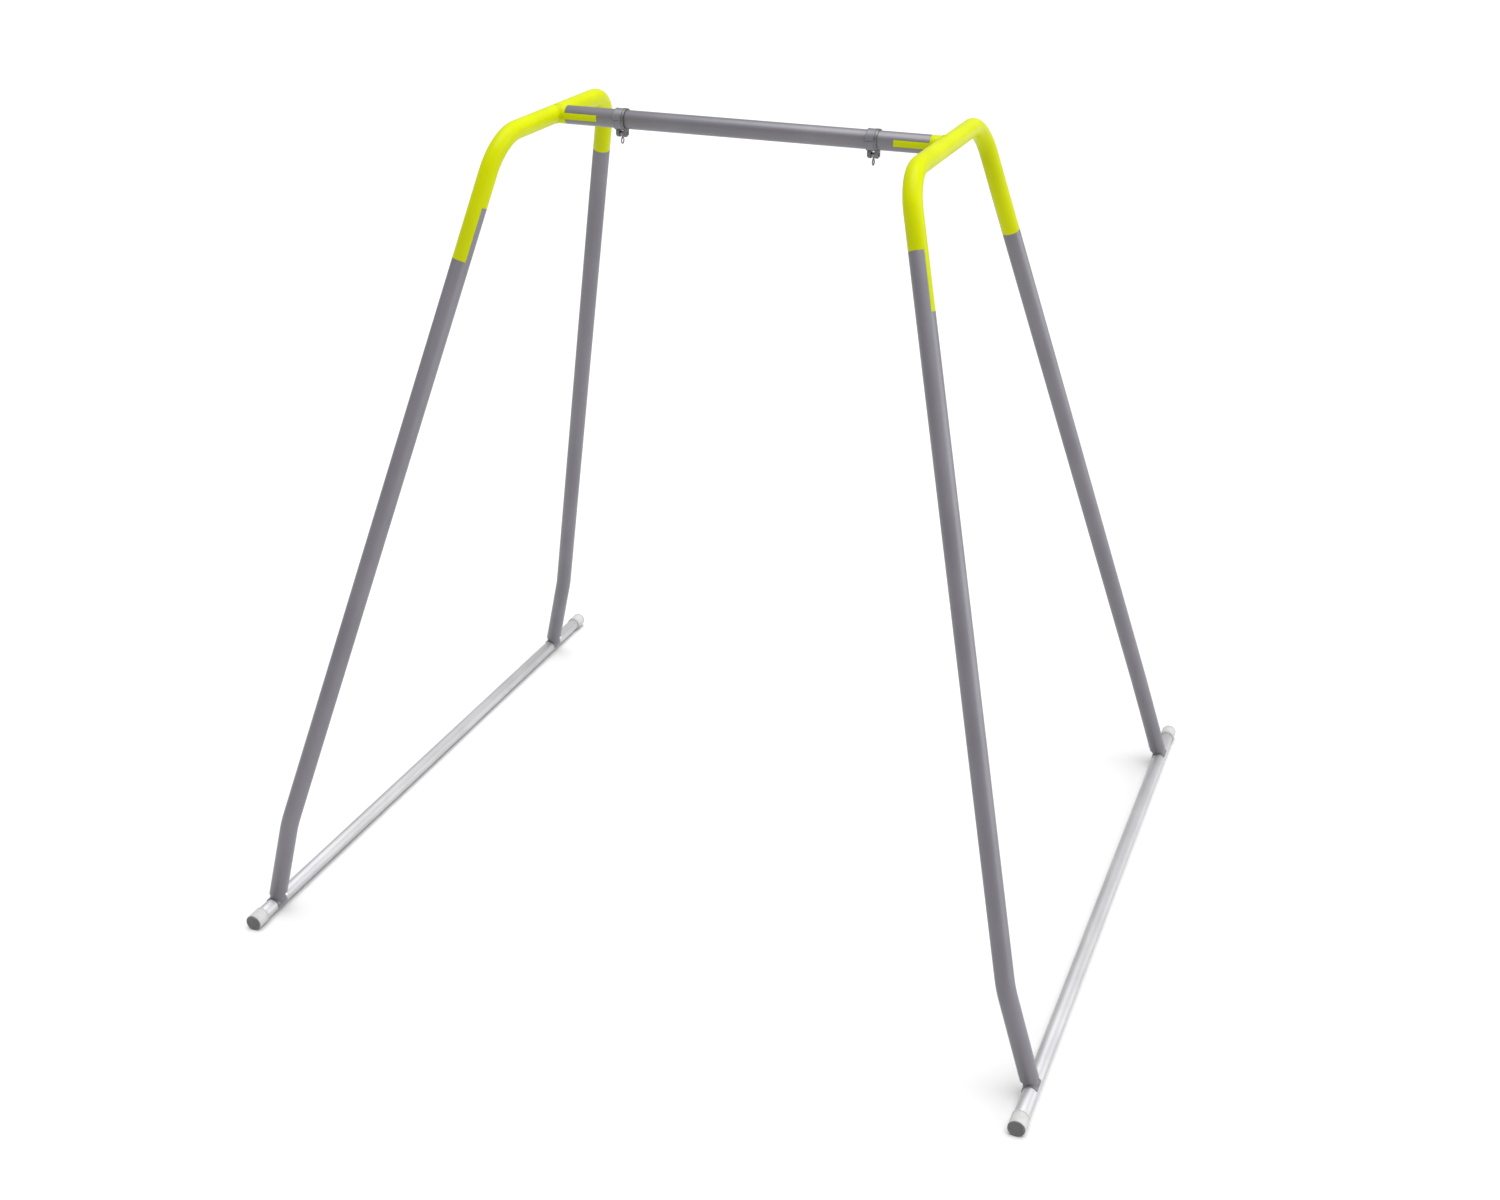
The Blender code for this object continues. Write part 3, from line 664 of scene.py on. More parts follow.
print("a dressed piece has a finish, a body to ride on and the node it stands for")

# %% [markdown]
# ## The arches
#
# Each arch is one tube with two bends. A short stub is welded to its middle for the crossbar,
# and each end is cut away to a half-round tongue for the leg's lap. Stub, arch and weld are
# separate shells of one piece: a boolean union of two equal tubes is fragile where they touch,
# and the rippled bead hides the seam between them, as it does on the real frame.

# %% Where an arch's joints are
ARCH_BEND = 106.0 * MM
BEND_STEPS = 20
RING_AT = 157.0 * MM
LAP_END = 283.0 * MM
LAP_ANGLE = radians(36)
STUB_END = 436.0 * MM
KEY_END = 355.0 * MM
KEY_HALF_HEIGHT = 7.25 * MM


def leg_heading(end, side):
    """The direction down the upper part of a leg."""
    leg = LEGS[end, side]
    return (leg["kink"] - leg["corner"]).normalized()


def lap_place(end, side):
    """Z runs down the leg from the arch's corner, and X points to the arch's tongue."""
    sx, sy = SIDES[side], ENDS[end]
    tongue = (sx * sin(LAP_ANGLE), -sx * sy * cos(LAP_ANGLE), 0.0)
    return place_on(LEGS[end, side]["corner"], leg_heading(end, side), tongue)


def stub_place(side):
    """Z runs inwards from the arch's axis along the crossbar's."""
    origin = (LEGS["front", side]["corner"].x, HEAD.y, HEAD.z)
    return place_on(origin, (-SIDES[side], 0, 0), (0, 0, 1))


for end, side in CORNERS:
    lean = degrees(leg_heading(end, side).angle((0, 0, -1)))
    print(end, side, "leg leans by", round(lean, 1), "degrees")

# %% Stub and weld
SAWN_EDGE = 0.25 * MM
STUB_INSET = 0.02 * MM
STUB_BEAD = 1.6 * MM
STUB_RIPPLES = 40
SEAM_POINTS = 240


def make_stub(side):
    """The tube that meets the crossbar, cut back to its two keys."""
    inwards, reach = stub_place(side), abs(LEGS["front", side]["corner"].x)
    ends = [inwards @ Vector((0, 0, z)) for z in (TUBE_RADIUS / 2, reach - KEY_END)]
    stub = tube("stub", Spine(ends, (0, 0, 1)), TUBE_RADIUS - STUB_INSET)
    low, high = (KEY_HALF_HEIGHT, -REACH, reach - STUB_END), (REACH, REACH, LONG)
    for turn in (0, pi):
        place = inwards @ Matrix.Rotation(turn, 4, "Z")
        carve(stub, block("key", place, low, high))
    ease(stub, SAWN_EDGE)
    return stub


def stub_weld(side):
    """The bead on the line where the two round surfaces cross."""
    inwards = stub_place(side)
    turns = [2 * pi * i / SEAM_POINTS for i in range(SEAM_POINTS)]
    seam = [inwards @ (TUBE_RADIUS * Vector((cos(a), sin(a), abs(sin(a))))) for a in turns]
    return bead("weld", seam, STUB_BEAD, lambda p: p - inwards.translation, STUB_RIPPLES)


print("a stub reaches", round((STUB_END - KEY_END) / MM), "mm into the crossbar as two keys")


# %% Arches
def make_arch(side):
    """One tube with two bends, its ends cut to tongues, with its stub and weld."""
    front, rear = LEGS["front", side]["corner"], LEGS["rear", side]["corner"]
    first, last = [LEGS[end, side]["corner"] + leg_heading(end, side) * LAP_END for end in ENDS]
    spine = Spine(bent_line([first, front, rear, last], ARCH_BEND, BEND_STEPS))
    arch = tube("lime_arch_" + side, spine, TUBE_RADIUS)
    for end in ENDS:
        low, high = (-REACH, -REACH, RING_AT), (0, REACH, LONG)
        carve(arch, block("lap", lap_place(end, side), low, high))
    ease(arch, SAWN_EDGE)
    add_to(arch, make_stub(side))
    add_to(arch, stub_weld(side))
    return dress(arch, "frame", "lime_paint", "arch_" + side)


for side in SIDES:
    arch = make_arch(side)
    print(arch.name, len(arch.data.polygons), "faces")

# %% [markdown]
# ## The crossbar
#
# The crossbar is a straight tube. Two slots sawn into each of its ends fit around the arches'
# keys, so that the bar can't turn, and key and bar make one round surface.

# %% Crossbar
crossbar_ends = [Vector((x, HEAD.y, HEAD.z)) for x in (crossbar_low.x, crossbar_high.x)]
crossbar_spine = Spine(crossbar_ends, (0, 0, 1))
crossbar = tube("grey_crossbar", crossbar_spine, TUBE_RADIUS)
slot_height = KEY_HALF_HEIGHT + GAP
for sx in SIDES.values():
    start = place_on((sx * (KEY_END - GAP), HEAD.y, HEAD.z), (sx, 0, 0), (0, 0, 1))
    carve(crossbar, block("slot", start, (-slot_height, -REACH, 0), (slot_height, REACH, LONG)))
ease(crossbar, SAWN_EDGE)
dress(crossbar, "frame", "grey_paint", "crossbar")
print("crossbar", round(crossbar_spine.length, 4), "metres long")

# %% [markdown]
# ## The legs
#
# Each leg is a tube with one bend near the floor. Its upper end is cut away where the arch's
# tongue lies, and a hole near its lower end lets the snap button through. The hole is a little
# wider than the button, so the button sits in a dark ring.

# %% Where a leg's button is
LEG_BEND = 150.0 * MM
LEG_BEND_STEPS = 10
LEG_END = 27.0 * MM
LAP_OVERCUT = 5.0 * MM
BUTTON_HOLE = 4.8 * MM


def leg_up(end, side):
    """The direction up the short lower part of a leg."""
    leg = LEGS[end, side]
    return (leg["kink"] - leg["foot"]).normalized()


def button_place(end, side):
    """Z points out of the leg along the button's axis; the origin is on the leg's axis."""
    foot, up = LEGS[end, side]["foot"], leg_up(end, side)
    outwards = -Vector(joints[f"button_push_{end}_{side}"]["axis"])
    low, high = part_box(f"snap_button_{end}_{side}")
    origin = foot + up * ((low + high) / 2 - foot).dot(up)
    return place_on(origin, outwards, up)


def button_hole(end, side):
    return drill("hole", button_place(end, side), BUTTON_HOLE, 0, REACH, 32)


for end, side in CORNERS:
    height = button_place(end, side).translation.z
    print(end, side, "button is", round(height / MM), "mm above the floor")


# %% Legs
def make_leg(end, side):
    """A bent tube, cut away for the arch's tongue and drilled for its button."""
    leg = LEGS[end, side]
    top = leg["corner"] + leg_heading(end, side) * (RING_AT + GAP)
    bottom = leg["foot"] + leg_up(end, side) * LEG_END
    spine = Spine(bent_line([top, leg["kink"], bottom], LEG_BEND, LEG_BEND_STEPS))
    piece = tube(f"grey_leg_{end}_{side}", spine, TUBE_RADIUS)
    low, high = (-GAP, -REACH, RING_AT - LAP_OVERCUT), (REACH, REACH, LAP_END + GAP)
    carve(piece, block("lap", lap_place(end, side), low, high))
    carve(piece, button_hole(end, side))
    ease(piece, SAWN_EDGE)
    return dress(piece, "frame", "grey_paint", f"leg_{end}_{side}")


for end, side in CORNERS:
    leg = make_leg(end, side)
    print(leg.name, len(leg.data.polygons), "faces")

# %% [markdown]
# ## The foot saddles
#
# A saddle is a half sleeve that hugs the floor bar, with a spigot welded on top for the leg.
# The spigot is turned and its lower end is cut to sit on the sleeve. The sleeve is a bent
# strip, drawn as its end section and pulled along the bar. A bead of weld joins the two.

# %% Spigots
SADDLE_LENGTH = 38.0 * MM
SADDLE_RADIUS = 18.9 * MM
SADDLE_BED = BAR_RADIUS + GAP
SADDLE_EDGE = 0.45 * MM
INNER_WRAP, OUTER_WRAP = 100, 60
SPIGOT_TOP = 78.0 * MM
SPIGOT_RADIUS = 18.75 * MM
SPIGOT_BORE = 15.5 * MM
COLLAR_RADIUS = 17.2 * MM
BED_REACH = 50.0 * MM


def saddle_places(end, side):
    """Two places at a foot: Z up along the leg, and Z along the floor bar with X upwards."""
    foot = LEGS[end, side]["foot"]
    upright = place_on(foot, leg_up(end, side), (-SIDES[side], 0, 0))
    return upright, place_on(foot, (0, 1, 0), (0, 0, 1))


def make_spigot(end, side):
    """The turned part inside the leg, cut below to sit within the sleeve."""
    upright, along_bar = saddle_places(end, side)
    outline = [(4 * MM, 0), (4 * MM, COLLAR_RADIUS), (LEG_END - 4 * MM, COLLAR_RADIUS)]
    outline += [(LEG_END - 2 * MM, SPIGOT_RADIUS), (SPIGOT_TOP - 3 * MM, SPIGOT_RADIUS)]
    outline += [(SPIGOT_TOP, SPIGOT_RADIUS - 1 * MM), (SPIGOT_TOP, SPIGOT_BORE)]
    outline += [(LEG_END - 3 * MM, SPIGOT_BORE), (LEG_END - 3 * MM, 0)]
    spigot = turned(f"grey_saddle_{end}_{side}", upright, outline, 64)
    carve(spigot, drill("bed", along_bar, SADDLE_BED + 1 * MM, -BED_REACH, BED_REACH, 60))
    low, high = sorted((0.0, SIDES[side] * REACH))
    lip = SADDLE_RADIUS * cos(radians(OUTER_WRAP)) - 0.1 * MM
    low, high = (-REACH, low, -BED_REACH), (lip, high, BED_REACH)
    carve(spigot, block("outer", along_bar, low, high))
    carve(spigot, button_hole(end, side))
    ease(spigot, SADDLE_EDGE, 3)
    return spigot


print("a spigot reaches", round((SPIGOT_TOP - LEG_END) / MM), "mm into its leg")

# %% Saddles
SLEEVE_STEP = 2
SADDLE_BEAD = 1.3 * MM
SADDLE_RIPPLES = 28
SADDLE_SEAM_POINTS = 160


def make_sleeve(end, side):
    """The strip around the floor bar, wrapped further down its inner side."""
    steps = range(-OUTER_WRAP, INNER_WRAP + 1, SLEEVE_STEP)
    turns = [-SIDES[side] * radians(a) for a in steps]
    section = [(SADDLE_BED * cos(a), SADDLE_BED * sin(a)) for a in turns]
    section += [(SADDLE_RADIUS * cos(a), SADDLE_RADIUS * sin(a)) for a in reversed(turns)]
    half = SADDLE_LENGTH / 2
    sleeve = prism("sleeve", saddle_places(end, side)[1], section, -half, half)
    ease(sleeve, SADDLE_EDGE, 3)
    return sleeve


def saddle_weld(end, side):
    """The bead on the line where the spigot runs into the sleeve's round back."""
    upright, foot, up = saddle_places(end, side)[0], LEGS[end, side]["foot"], leg_up(end, side)
    flat_up = Vector((up.x, up.z))
    seam = []
    for i in range(SADDLE_SEAM_POINTS):
        a = 2 * pi * i / SADDLE_SEAM_POINTS
        start = upright @ Vector((COLLAR_RADIUS * cos(a), COLLAR_RADIUS * sin(a), 0)) - foot
        flat_start = Vector((start.x, start.z))
        b, c = flat_start.dot(flat_up), flat_start.length_squared - SADDLE_RADIUS**2
        rise = (-b + sqrt(b * b - flat_up.length_squared * c)) / flat_up.length_squared
        seam.append(foot + start + up * rise)
    return bead("weld", seam, SADDLE_BEAD, lambda p: p - foot, SADDLE_RIPPLES)


for end, side in CORNERS:
    saddle = make_spigot(end, side)
    add_to(saddle, make_sleeve(end, side))
    add_to(saddle, saddle_weld(end, side))
    dress(saddle, "frame", "grey_paint", f"foot_saddle_{end}_{side}")
    print(saddle.name, "is", round(SADDLE_LENGTH / MM), "mm long")

# %% [markdown]
# ## The snap buttons
#
# Each button is a turned steel dome on a flanged stem. A thumb pushes it in to free the leg
# from its saddle. The dome's outline is a quarter of an ellipse, so it shades as one curve.

# %% Snap buttons
BUTTON_RADIUS = 4.0 * MM
BUTTON_TIP = TUBE_RADIUS + 3.5 * MM
DOME_HEIGHT = 3.0 * MM
DOME_STEPS = 10

BUTTON = in_mm((8.5, 0), (8.5, 5.8), (8.7, 6), (10.3, 6), (10.5, 5.8))
BUTTON.append((10.5 * MM, BUTTON_RADIUS))
for i in range(DOME_STEPS + 1):
    a = pi / 2 * i / DOME_STEPS
    height = BUTTON_TIP - DOME_HEIGHT * (1 - sin(a))
    BUTTON.append((height, BUTTON_RADIUS * cos(a) if i < DOME_STEPS else 0))
for end, side in CORNERS:
    button = turned(f"snap_dome_{end}_{side}", button_place(end, side), BUTTON, 40)
    dress(button, f"button_{end}_{side}", "bright_steel", f"snap_button_{end}_{side}")
print("four snap buttons, each", round(2 * BUTTON_RADIUS / MM), "mm across")

# %% [markdown]
# ## The floor bars and their ends
#
# The bars are plain drawn tube. A moulded collar is pressed over each end, with a rolled outer
# edge, a flat where it stands on the floor and a thin lip against the bar. A dark rubber plug
# closes it, with a dished face and a moulded ring that the light picks out.

# %% Floor bars
for side, (low, high) in BAR_BOXES.items():
    middle = (low + high) / 2
    ends = [Vector((middle.x, y, middle.z)) for y in (low.y, high.y)]
    bar = tube("silver_bar_" + side, Spine(ends), BAR_RADIUS)
    ease(bar, 0.4 * MM)
    dress(bar, "frame", "silver_tube", "floor_bar_" + side)
    print(bar.name, round((ends[1] - ends[0]).length, 3), "metres long")

# %% The outlines of a collar and a plug
CAP_RADIUS = 19.6 * MM
CAP_LENGTH = 42.0 * MM
FLANGE = 3.0 * MM
CAP_TOP = -FLANGE - GAP
ROLL = 0.8 * MM
LIP = 1.5 * MM
GROOVE = 1.4 * MM
PLUG_RIM = CAP_RADIUS - 0.4 * MM
PLUG_STEM = BAR_RADIUS - TUBE_WALL - GAP
PLUG_ROLL = 1.2 * MM
RIBS = 3

COLLAR = arc((CAP_TOP - ROLL, CAP_RADIUS - ROLL), ROLL, 90, 0)
COLLAR += [(-36.2 * MM, CAP_RADIUS), (-36.5 * MM, CAP_RADIUS - GROOVE)]
COLLAR += [(-38.5 * MM, CAP_RADIUS - GROOVE), (-38.8 * MM, CAP_RADIUS - 0.2 * MM)]
COLLAR += arc((LIP - CAP_LENGTH, CAP_RADIUS - LIP), LIP, 0, -80)
COLLAR += [(-CAP_LENGTH, BAR_RADIUS + GAP), (CAP_TOP, BAR_RADIUS + GAP)]

PLUG = in_mm((-1.1, 0), (-1.0, 7.5), (-0.5, 8.2), (-0.5, 9.6), (-1.0, 10.3), (-0.9, 14))
PLUG += in_mm((-0.1, 15.6)) + arc((-PLUG_ROLL, PLUG_RIM - PLUG_ROLL), PLUG_ROLL, 90, 0)
PLUG += [(-FLANGE, PLUG_RIM), (-FLANGE, PLUG_STEM)]
for rib in range(RIBS):
    z = -FLANGE - (5 + 7 * rib) * MM
    PLUG += [(z, PLUG_STEM), (z - 1 * MM, PLUG_STEM - LIP), (z - 4 * MM, PLUG_STEM - LIP)]
    PLUG += [(z - 5 * MM, PLUG_STEM)]
PLUG += [(-28 * MM, PLUG_STEM - LIP), (-28 * MM, 0)]
print("a collar has", len(COLLAR), "points in its outline, and a plug has", len(PLUG))

# %% Collars and plugs
FLOOR_HALF = 1.2
END_SIDES = 72


def end_place(end, side):
    """Z points out of the bar's end; the origin is the plug's outermost face."""
    low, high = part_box(f"end_plug_{end}_{side}")
    middle = (BAR_BOXES[side][0] + BAR_BOXES[side][1]) / 2
    origin = (middle.x, low.y if ENDS[end] < 0 else high.y, middle.z)
    return place_on(origin, (0, ENDS[end], 0), (0, 0, 1))


def stand(piece):
    """Trims a piece level with the floor."""
    low, high = (-FLOOR_HALF, -FLOOR_HALF, -REACH), (FLOOR_HALF, FLOOR_HALF, 0.0)
    carve(piece, block("floor", Matrix(), low, high))


for end, side in CORNERS:
    place = end_place(end, side)
    cap = turned(f"pale_collar_{end}_{side}", place, COLLAR, END_SIDES, closed=True)
    stand(cap)
    ease(cap, 0.15 * MM, angle=50)
    dress(cap, "frame", "cap_plastic", f"end_cap_{end}_{side}")
    plug = turned(f"dark_plug_{end}_{side}", place, PLUG, END_SIDES)
    stand(plug)
    dress(plug, "frame", "plug_rubber", f"end_plug_{end}_{side}")
    print(cap.name, "stands at", round(min(v.co.z for v in cap.data.vertices) / MM, 2), "mm")

# %% [markdown]
# ## The hangers
#
# A hanger is a grey ring and a dark strap side by side on the crossbar, each with a block-like
# cheek below. A pin goes through both cheeks, a bronze bush turns on it, and the bush carries
# the eye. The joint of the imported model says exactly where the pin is.

# %% Where the pins are
PIN_RADIUS = 2.5 * MM
PIN_PLACES = {}
for side in SIDES:
    PIN_PLACES[side] = place_on(joints["link_swing_" + side]["pos_m"], (1, 0, 0), (0, 0, 1))
    print("pin", side, PIN_PLACES[side].translation.to_tuple(4))


def ring_place(side):
    """Z runs along the crossbar and X points upwards, straight above the pin."""
    return place_on((PIN_PLACES[side].translation.x, HEAD.y, HEAD.z), (1, 0, 0), (0, 0, 1))


# %% Rings
RING_SIDES = 96
RING_BED = TUBE_RADIUS + GAP
RING_RADIUS = 24.7 * MM
RING_FROM, RING_TO = -14.0 * MM, 6.0 * MM
RING_ROLL = 0.9 * MM
RING_STEP = 0.5 * MM
SHOULDER, STEP_END = 3.0 * MM, 3.6 * MM
LIP_FROM, LIP_TO = 21.9 * MM, 25.3 * MM
SPLIT_FROM, SPLIT_TO = 20.0 * MM, 28.0 * MM

RING = arc((RING_TO - RING_ROLL, RING_RADIUS - RING_ROLL), RING_ROLL, 90, 0)
RING += [(RING_TO - SHOULDER, RING_RADIUS), (RING_TO - STEP_END, RING_RADIUS - RING_STEP)]
RING += [(RING_FROM + STEP_END, RING_RADIUS - RING_STEP), (RING_FROM + SHOULDER, RING_RADIUS)]
RING += arc((RING_FROM + RING_ROLL, RING_RADIUS - RING_ROLL), RING_ROLL, 0, -90)
RING += [(RING_FROM, RING_BED), (RING_TO, RING_BED)]


def make_ring(side):
    """A band with raised rims and, front and rear, two small lips with a fine split between."""
    place = ring_place(side)
    ring = turned("grey_ring_" + side, place, RING, RING_SIDES, closed=True)
    for way in (-1, 1):
        near, far = sorted((way * LIP_FROM, way * LIP_TO))
        low = (-1.6 * MM, near, RING_FROM + 1.5 * MM)
        high = (0.3 * MM, far, RING_TO - 1.5 * MM)
        carve(ring, block("lip", place, low, high), "UNION")
        near, far = sorted((way * SPLIT_FROM, way * SPLIT_TO))
        carve(ring, block("split", place, (0.2 * MM, near, -REACH), (0.8 * MM, far, REACH)))
    ease(ring, 0.3 * MM, angle=50)
    return dress(ring, "hanger_" + side, "grey_paint", "hanger_ring_" + side)


print("a ring is", round((RING_TO - RING_FROM) / MM), "mm long")

# %% Cheeks
CHEEK_OUTER, CHEEK_INNER, CHEEK_RADIUS = 13.0 * MM, 4.5 * MM, 8.0 * MM
CHEEK_TOP = 22.0 * MM
CHAMFER_UP, CHAMFER_ALONG = 5.0 * MM, 2.5 * MM


def cheek(name, side, near, far):
    """A hanging block, round about the pin, with a chamfer on its outer lower corner."""
    pin, way = PIN_PLACES[side], 1 if far > 0 else -1
    turns = [radians(90 - 12 * i) for i in range(16)]
    outline = [(-CHEEK_RADIUS * cos(a), CHEEK_RADIUS * sin(a)) for a in turns]
    top = HEAD.z - pin.translation.z - CHEEK_TOP
    outline += [(top, -CHEEK_RADIUS), (top, CHEEK_RADIUS)]
    piece = prism(name, pin, outline, near, far)
    start = Vector((-CHEEK_RADIUS - 0.05 * MM, 0, way * (CHEEK_OUTER - CHAMFER_ALONG)))
    facing = pin.to_3x3() @ Vector((-CHAMFER_ALONG, 0, way * CHAMFER_UP))
    tool = place_on(pin @ start, facing, (0, 1, 0))
    carve(piece, block("chamfer", tool, (-REACH, -REACH, 0), (REACH, REACH, REACH)))
    return piece


def clearing(side, radius, low, high):
    return drill("clearing", ring_place(side), radius, low, high, RING_SIDES)


def bore_and_ease(piece, side):
    carve(piece, drill("bore", PIN_PLACES[side], PIN_RADIUS + 0.2 * MM, -REACH, REACH, 40))
    ease(piece, 0.5 * MM, 3)


def make_inner_cheek(side):
    inner = cheek("dark_cheek_" + side, side, -CHEEK_OUTER, -CHEEK_INNER)
    carve(inner, clearing(side, RING_RADIUS + GAP, -REACH, REACH))
    bore_and_ease(inner, side)
    return dress(inner, "hanger_" + side, "dark_steel", "hanger_cheek_" + side)


print("a cheek is", round((CHEEK_OUTER - CHEEK_INNER) / MM, 1), "mm thick")

# %% Straps, and whole hangers
STRAP_START = RING_TO + GAP
SCREW_HOLE = 1.95 * MM


def screw_axis(side):
    """Z points straight up through the middle of the strap."""
    middle = Matrix.Translation((0, 0, (STRAP_START + CHEEK_OUTER) / 2))
    return ring_place(side) @ middle @ Matrix.Rotation(pi / 2, 4, "Y")


def make_strap(side):
    """A band beside the ring, in one piece with the outer cheek, with a hole for its screw."""
    place, stop = ring_place(side), CHEEK_OUTER - 0.1 * MM
    strap = band("dark_strap_" + side, place, RING_BED, RING_RADIUS, STRAP_START, stop, RING_SIDES)
    outer = cheek("cheek", side, CHEEK_INNER, CHEEK_OUTER)
    carve(outer, clearing(side, RING_RADIUS + GAP, -REACH, STRAP_START + 0.02 * MM))
    carve(outer, clearing(side, RING_BED + 1 * MM, 0, REACH))
    carve(strap, outer, "UNION")
    carve(strap, drill("hole", screw_axis(side), SCREW_HOLE, 15 * MM, 30 * MM, 32))
    bore_and_ease(strap, side)
    return dress(strap, "hanger_" + side, "dark_steel", "hanger_strap_" + side)


for side in SIDES:
    for make in (make_ring, make_inner_cheek, make_strap):
        piece = make(side)
        print(piece.name, len(piece.data.polygons), "faces")

# %% [markdown]
# ## Screw, pin, keeper and bush
#
# The small turned parts are where a close look ends. The set screw has a six-sided socket, the
# pin has a domed head and a chamfered point, and the keeper is a sprung ring with a gap.

# %% Screw and pin
SCREW_RADIUS, SOCKET_RADIUS = 1.7 * MM, 0.95 * MM
SCREW_CHAMFER = 0.35 * MM
PIN_HEAD = CHEEK_OUTER + GAP
PIN_HEAD_RADIUS, PIN_DOME = 4.0 * MM, 0.6 * MM
PIN_CHAMFER = 0.5 * MM


def make_screw(side):
    """A headless screw with a six-sided socket."""
    low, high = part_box("set_screw_" + side)
    axis = place_on(((low.x + high.x) / 2, HEAD.y, HEAD.z), (0, 0, 1), (1, 0, 0))
    top, bottom = high.z - HEAD.z, low.z - HEAD.z
    outline = [(bottom, 0), (bottom, SCREW_RADIUS), (top - SCREW_CHAMFER, SCREW_RADIUS)]
    outline += [(top, SCREW_RADIUS - SCREW_CHAMFER), (top, 0)]
    screw = turned("socket_screw_" + side, axis, outline, 32)
    carve(screw, drill("socket", axis, SOCKET_RADIUS, top - 1.8 * MM, top + 1 * MM, 6))
    return dress(screw, "hanger_" + side, "dark_steel", "set_screw_" + side)


def make_pin(side):
    """A pin with a domed head and a chamfered point."""
    point = PIN_HEAD + 1.6 * MM
    turns = [pi / 2 * i / 6 for i in range(1, 7)]
    outline = [(-PIN_HEAD - 2 * PIN_DOME, 0)]
    outline += [(-PIN_HEAD - PIN_DOME - PIN_DOME * cos(a), PIN_HEAD_RADIUS * sin(a) ** 0.7)
                for a in turns]
    outline += [(-PIN_HEAD, PIN_HEAD_RADIUS), (-PIN_HEAD, PIN_RADIUS)]
    outline += [(point - PIN_CHAMFER, PIN_RADIUS), (point, PIN_RADIUS - PIN_CHAMFER), (point, 0)]
    pin = turned("clevis_pin_" + side, PIN_PLACES[side], outline, 40)
    return dress(pin, "hanger_" + side, "zinc_steel", "hanger_pin_" + side)


print("a pin is", round(2 * PIN_RADIUS / MM), "mm thick")

# %% Keeper and bush
KEEPER_HALF_GAP = 0.8 * MM


def make_keeper(side):
    """A sprung ring with a gap."""
    pin, inner = PIN_PLACES[side], PIN_RADIUS + 0.1 * MM
    keeper = band("keeper_ring_" + side, pin, inner, 4 * MM, PIN_HEAD, PIN_HEAD + 1 * MM, 40)
    low, high = (0, -KEEPER_HALF_GAP, 0), (REACH, KEEPER_HALF_GAP, REACH)
    carve(keeper, block("gap", pin, low, high))
    ease(keeper, 0.12 * MM)
    return dress(keeper, "hanger_" + side, "dark_steel", "pin_keeper_" + side)


def make_bush(side):
    """The bearing that the eye turns on."""
    pin, reach, inner = PIN_PLACES[side], CHEEK_INNER - GAP, PIN_RADIUS + GAP
    bush = band("bronze_bush_" + side, pin, inner, 3.8 * MM, -reach, reach, 40)
    ease(bush, 0.3 * MM)
    return dress(bush, "hanger_" + side, "bronze", "pin_bush_" + side)


for side in SIDES:
    for make in (make_screw, make_pin, make_keeper, make_bush):
        print(make(side).name)

# %% [markdown]
# ## The eyes
#
# Each eye is forged in one: a barrel on the bush, a short neck and a ring for the rope's hook.
# Forgings have no sharp inner corners, so the three shapes are joined, rebuilt as one even skin
# and smoothed a little, which leaves a soft fillet where the neck meets the ring.

# %% Eyes
BARREL_RADIUS, BARREL_BORE, BARREL_HALF = 5.5 * MM, 4.1 * MM, 4.0 * MM
EYE_DROP, EYE_RADIUS, EYE_WIRE = 16.0 * MM, 6.5 * MM, 1.5 * MM
EYE_POINTS = 96
FORGING_GRAIN = 0.28 * MM
FORGING_PASSES = 6


def eye_ring(pin):
    """The ring for the rope's hook, straight below the pin."""
    turns = [2 * pi * i / EYE_POINTS for i in range(EYE_POINTS)]
    circle = [pin @ Vector((EYE_RADIUS * cos(a) - EYE_DROP, EYE_RADIUS * sin(a), 0)) for a in turns]
    middle = pin @ Vector((-EYE_DROP, 0, 0))
    return bead("ring", circle, EYE_WIRE, lambda p: p - middle, ripples=0)


def forge(obj):
    """One even skin over all the shapes, smoothed a little."""
    remesh = obj.modifiers.new("skin", "REMESH")
    remesh.mode = "VOXEL"
    remesh.voxel_size = FORGING_GRAIN
    soften = obj.modifiers.new("soften", "SMOOTH")
    soften.iterations = FORGING_PASSES
    settle(obj)


for side, pin in PIN_PLACES.items():
    eye = drill("rope_eye_" + side, pin, BARREL_RADIUS, -BARREL_HALF, BARREL_HALF, 64)
    end = EYE_DROP - EYE_RADIUS
    neck = [(2 * MM, 0), (2 * MM, 2.4 * MM), (end, 2.0 * MM), (end, 0)]
    carve(eye, turned("neck", pin @ Matrix.Rotation(-pi / 2, 4, "Y"), neck, 32), "UNION")
    carve(eye, eye_ring(pin), "UNION")
    forge(eye)
    carve(eye, drill("bore", pin, BARREL_BORE, -REACH, REACH, 64))
    dress(eye, "link_" + side, "zinc_steel", "hanger_link_" + side, angle=50)
    print(eye.name, len(eye.data.polygons), "faces")

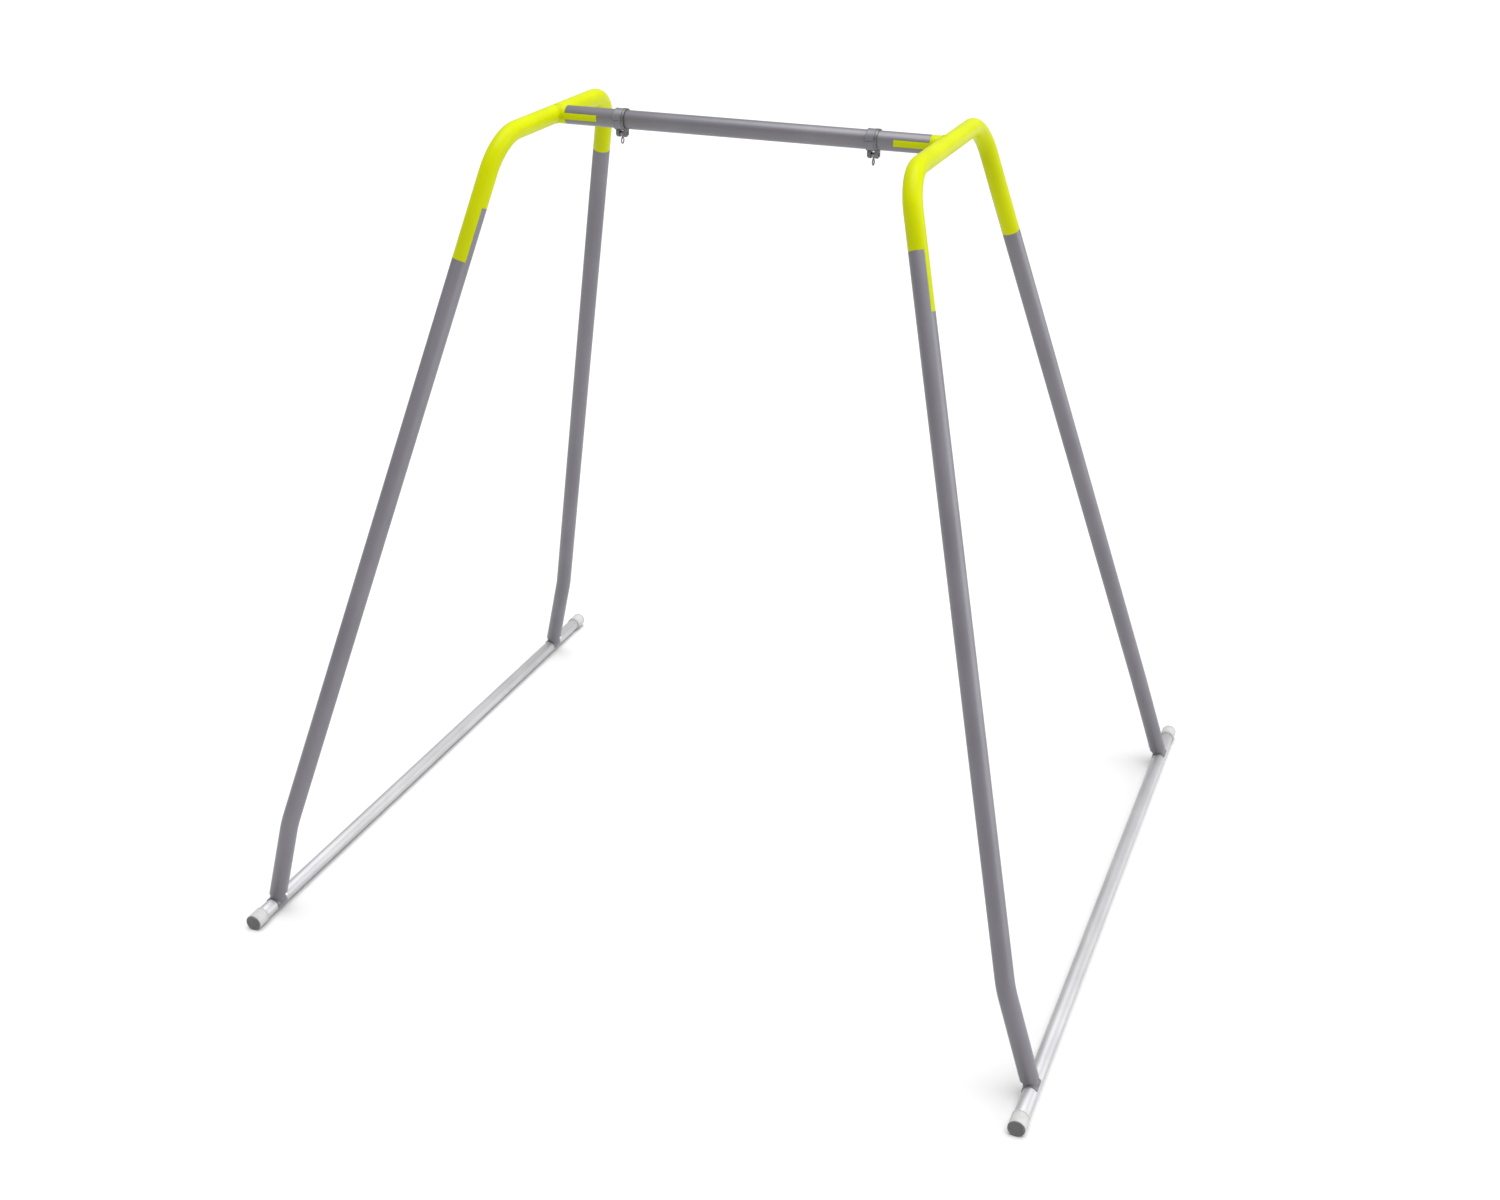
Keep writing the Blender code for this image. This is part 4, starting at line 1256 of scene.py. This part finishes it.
# %% [markdown]
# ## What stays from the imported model
#
# The sleeves inside the laps and the crossbar, and the strip springs behind the buttons, are
# right as they are and barely show. They keep their shape and get a real finish.

# %% Kept nodes
KEPT = {"lap_sleeve": "zinc_steel", "crossbar_sleeve": "zinc_steel", "button_spring": "dark_steel"}
for name, node in nodes.items():
    for start, finish in KEPT.items():
        if name.startswith(start):
            node.material_slots[0].material = FINISHES[finish]
            print(name, "keeps its shape and gets", finish)

# %% [markdown]
# ## Floor and light
#
# A pale floor runs far out on every side, so a camera that looks down sees no line behind the
# frame. A broad, soft sun overhead whitens near and far floor alike, and makes the tops of the
# tubes brighter than their sides. A second one draws a pale band down their right-hand edges,
# and the dimmer world fills in from all around.

# %% Floor
FLOOR_RADIUS = 90.0
FLOOR_DROP = 0.2 * MM

paper = Finish("studio_floor", Roughness=0.9, Specular_IOR_Level=0.1)
paper.set(Base_Color=paper.blend(paper.noise(3, detail=3) * 0.3, grey(0.69), grey(0.66)))
bm = bmesh.new()
bmesh.ops.create_circle(bm, cap_ends=True, segments=96, radius=FLOOR_RADIUS)
floor = as_object("floor", bm)
floor.data.materials.append(FINISHES["studio_floor"])
floor.location.z = -FLOOR_DROP
print("the floor is", round(2 * FLOOR_RADIUS), "metres across")

# %% Light
WORLD_LEVEL = 0.50
SUN_WIDTH = radians(60)
SUNS = {"overhead": ((0.05, 0, 1), 3.3), "right": ((1, 0.2, 0.15), 2.0)}

world = bpy.data.worlds.new("studio")
world.use_nodes = True
sky = world.node_tree.nodes["Background"]
sky.inputs["Color"].default_value = (1, 1, 1, 1)
sky.inputs["Strength"].default_value = WORLD_LEVEL
bpy.context.scene.world = world
for name, (towards, level) in SUNS.items():
    lamp = bpy.data.lights.new(name, "SUN")
    lamp.energy = level
    lamp.angle = SUN_WIDTH
    sun = bpy.data.objects.new(name, lamp)
    bpy.context.scene.collection.objects.link(sun)
    sun.matrix_world = place_on((0, 0, 4), towards, (0, 1, 0))
    print(name, "sun gives", level, "watts per square metre")
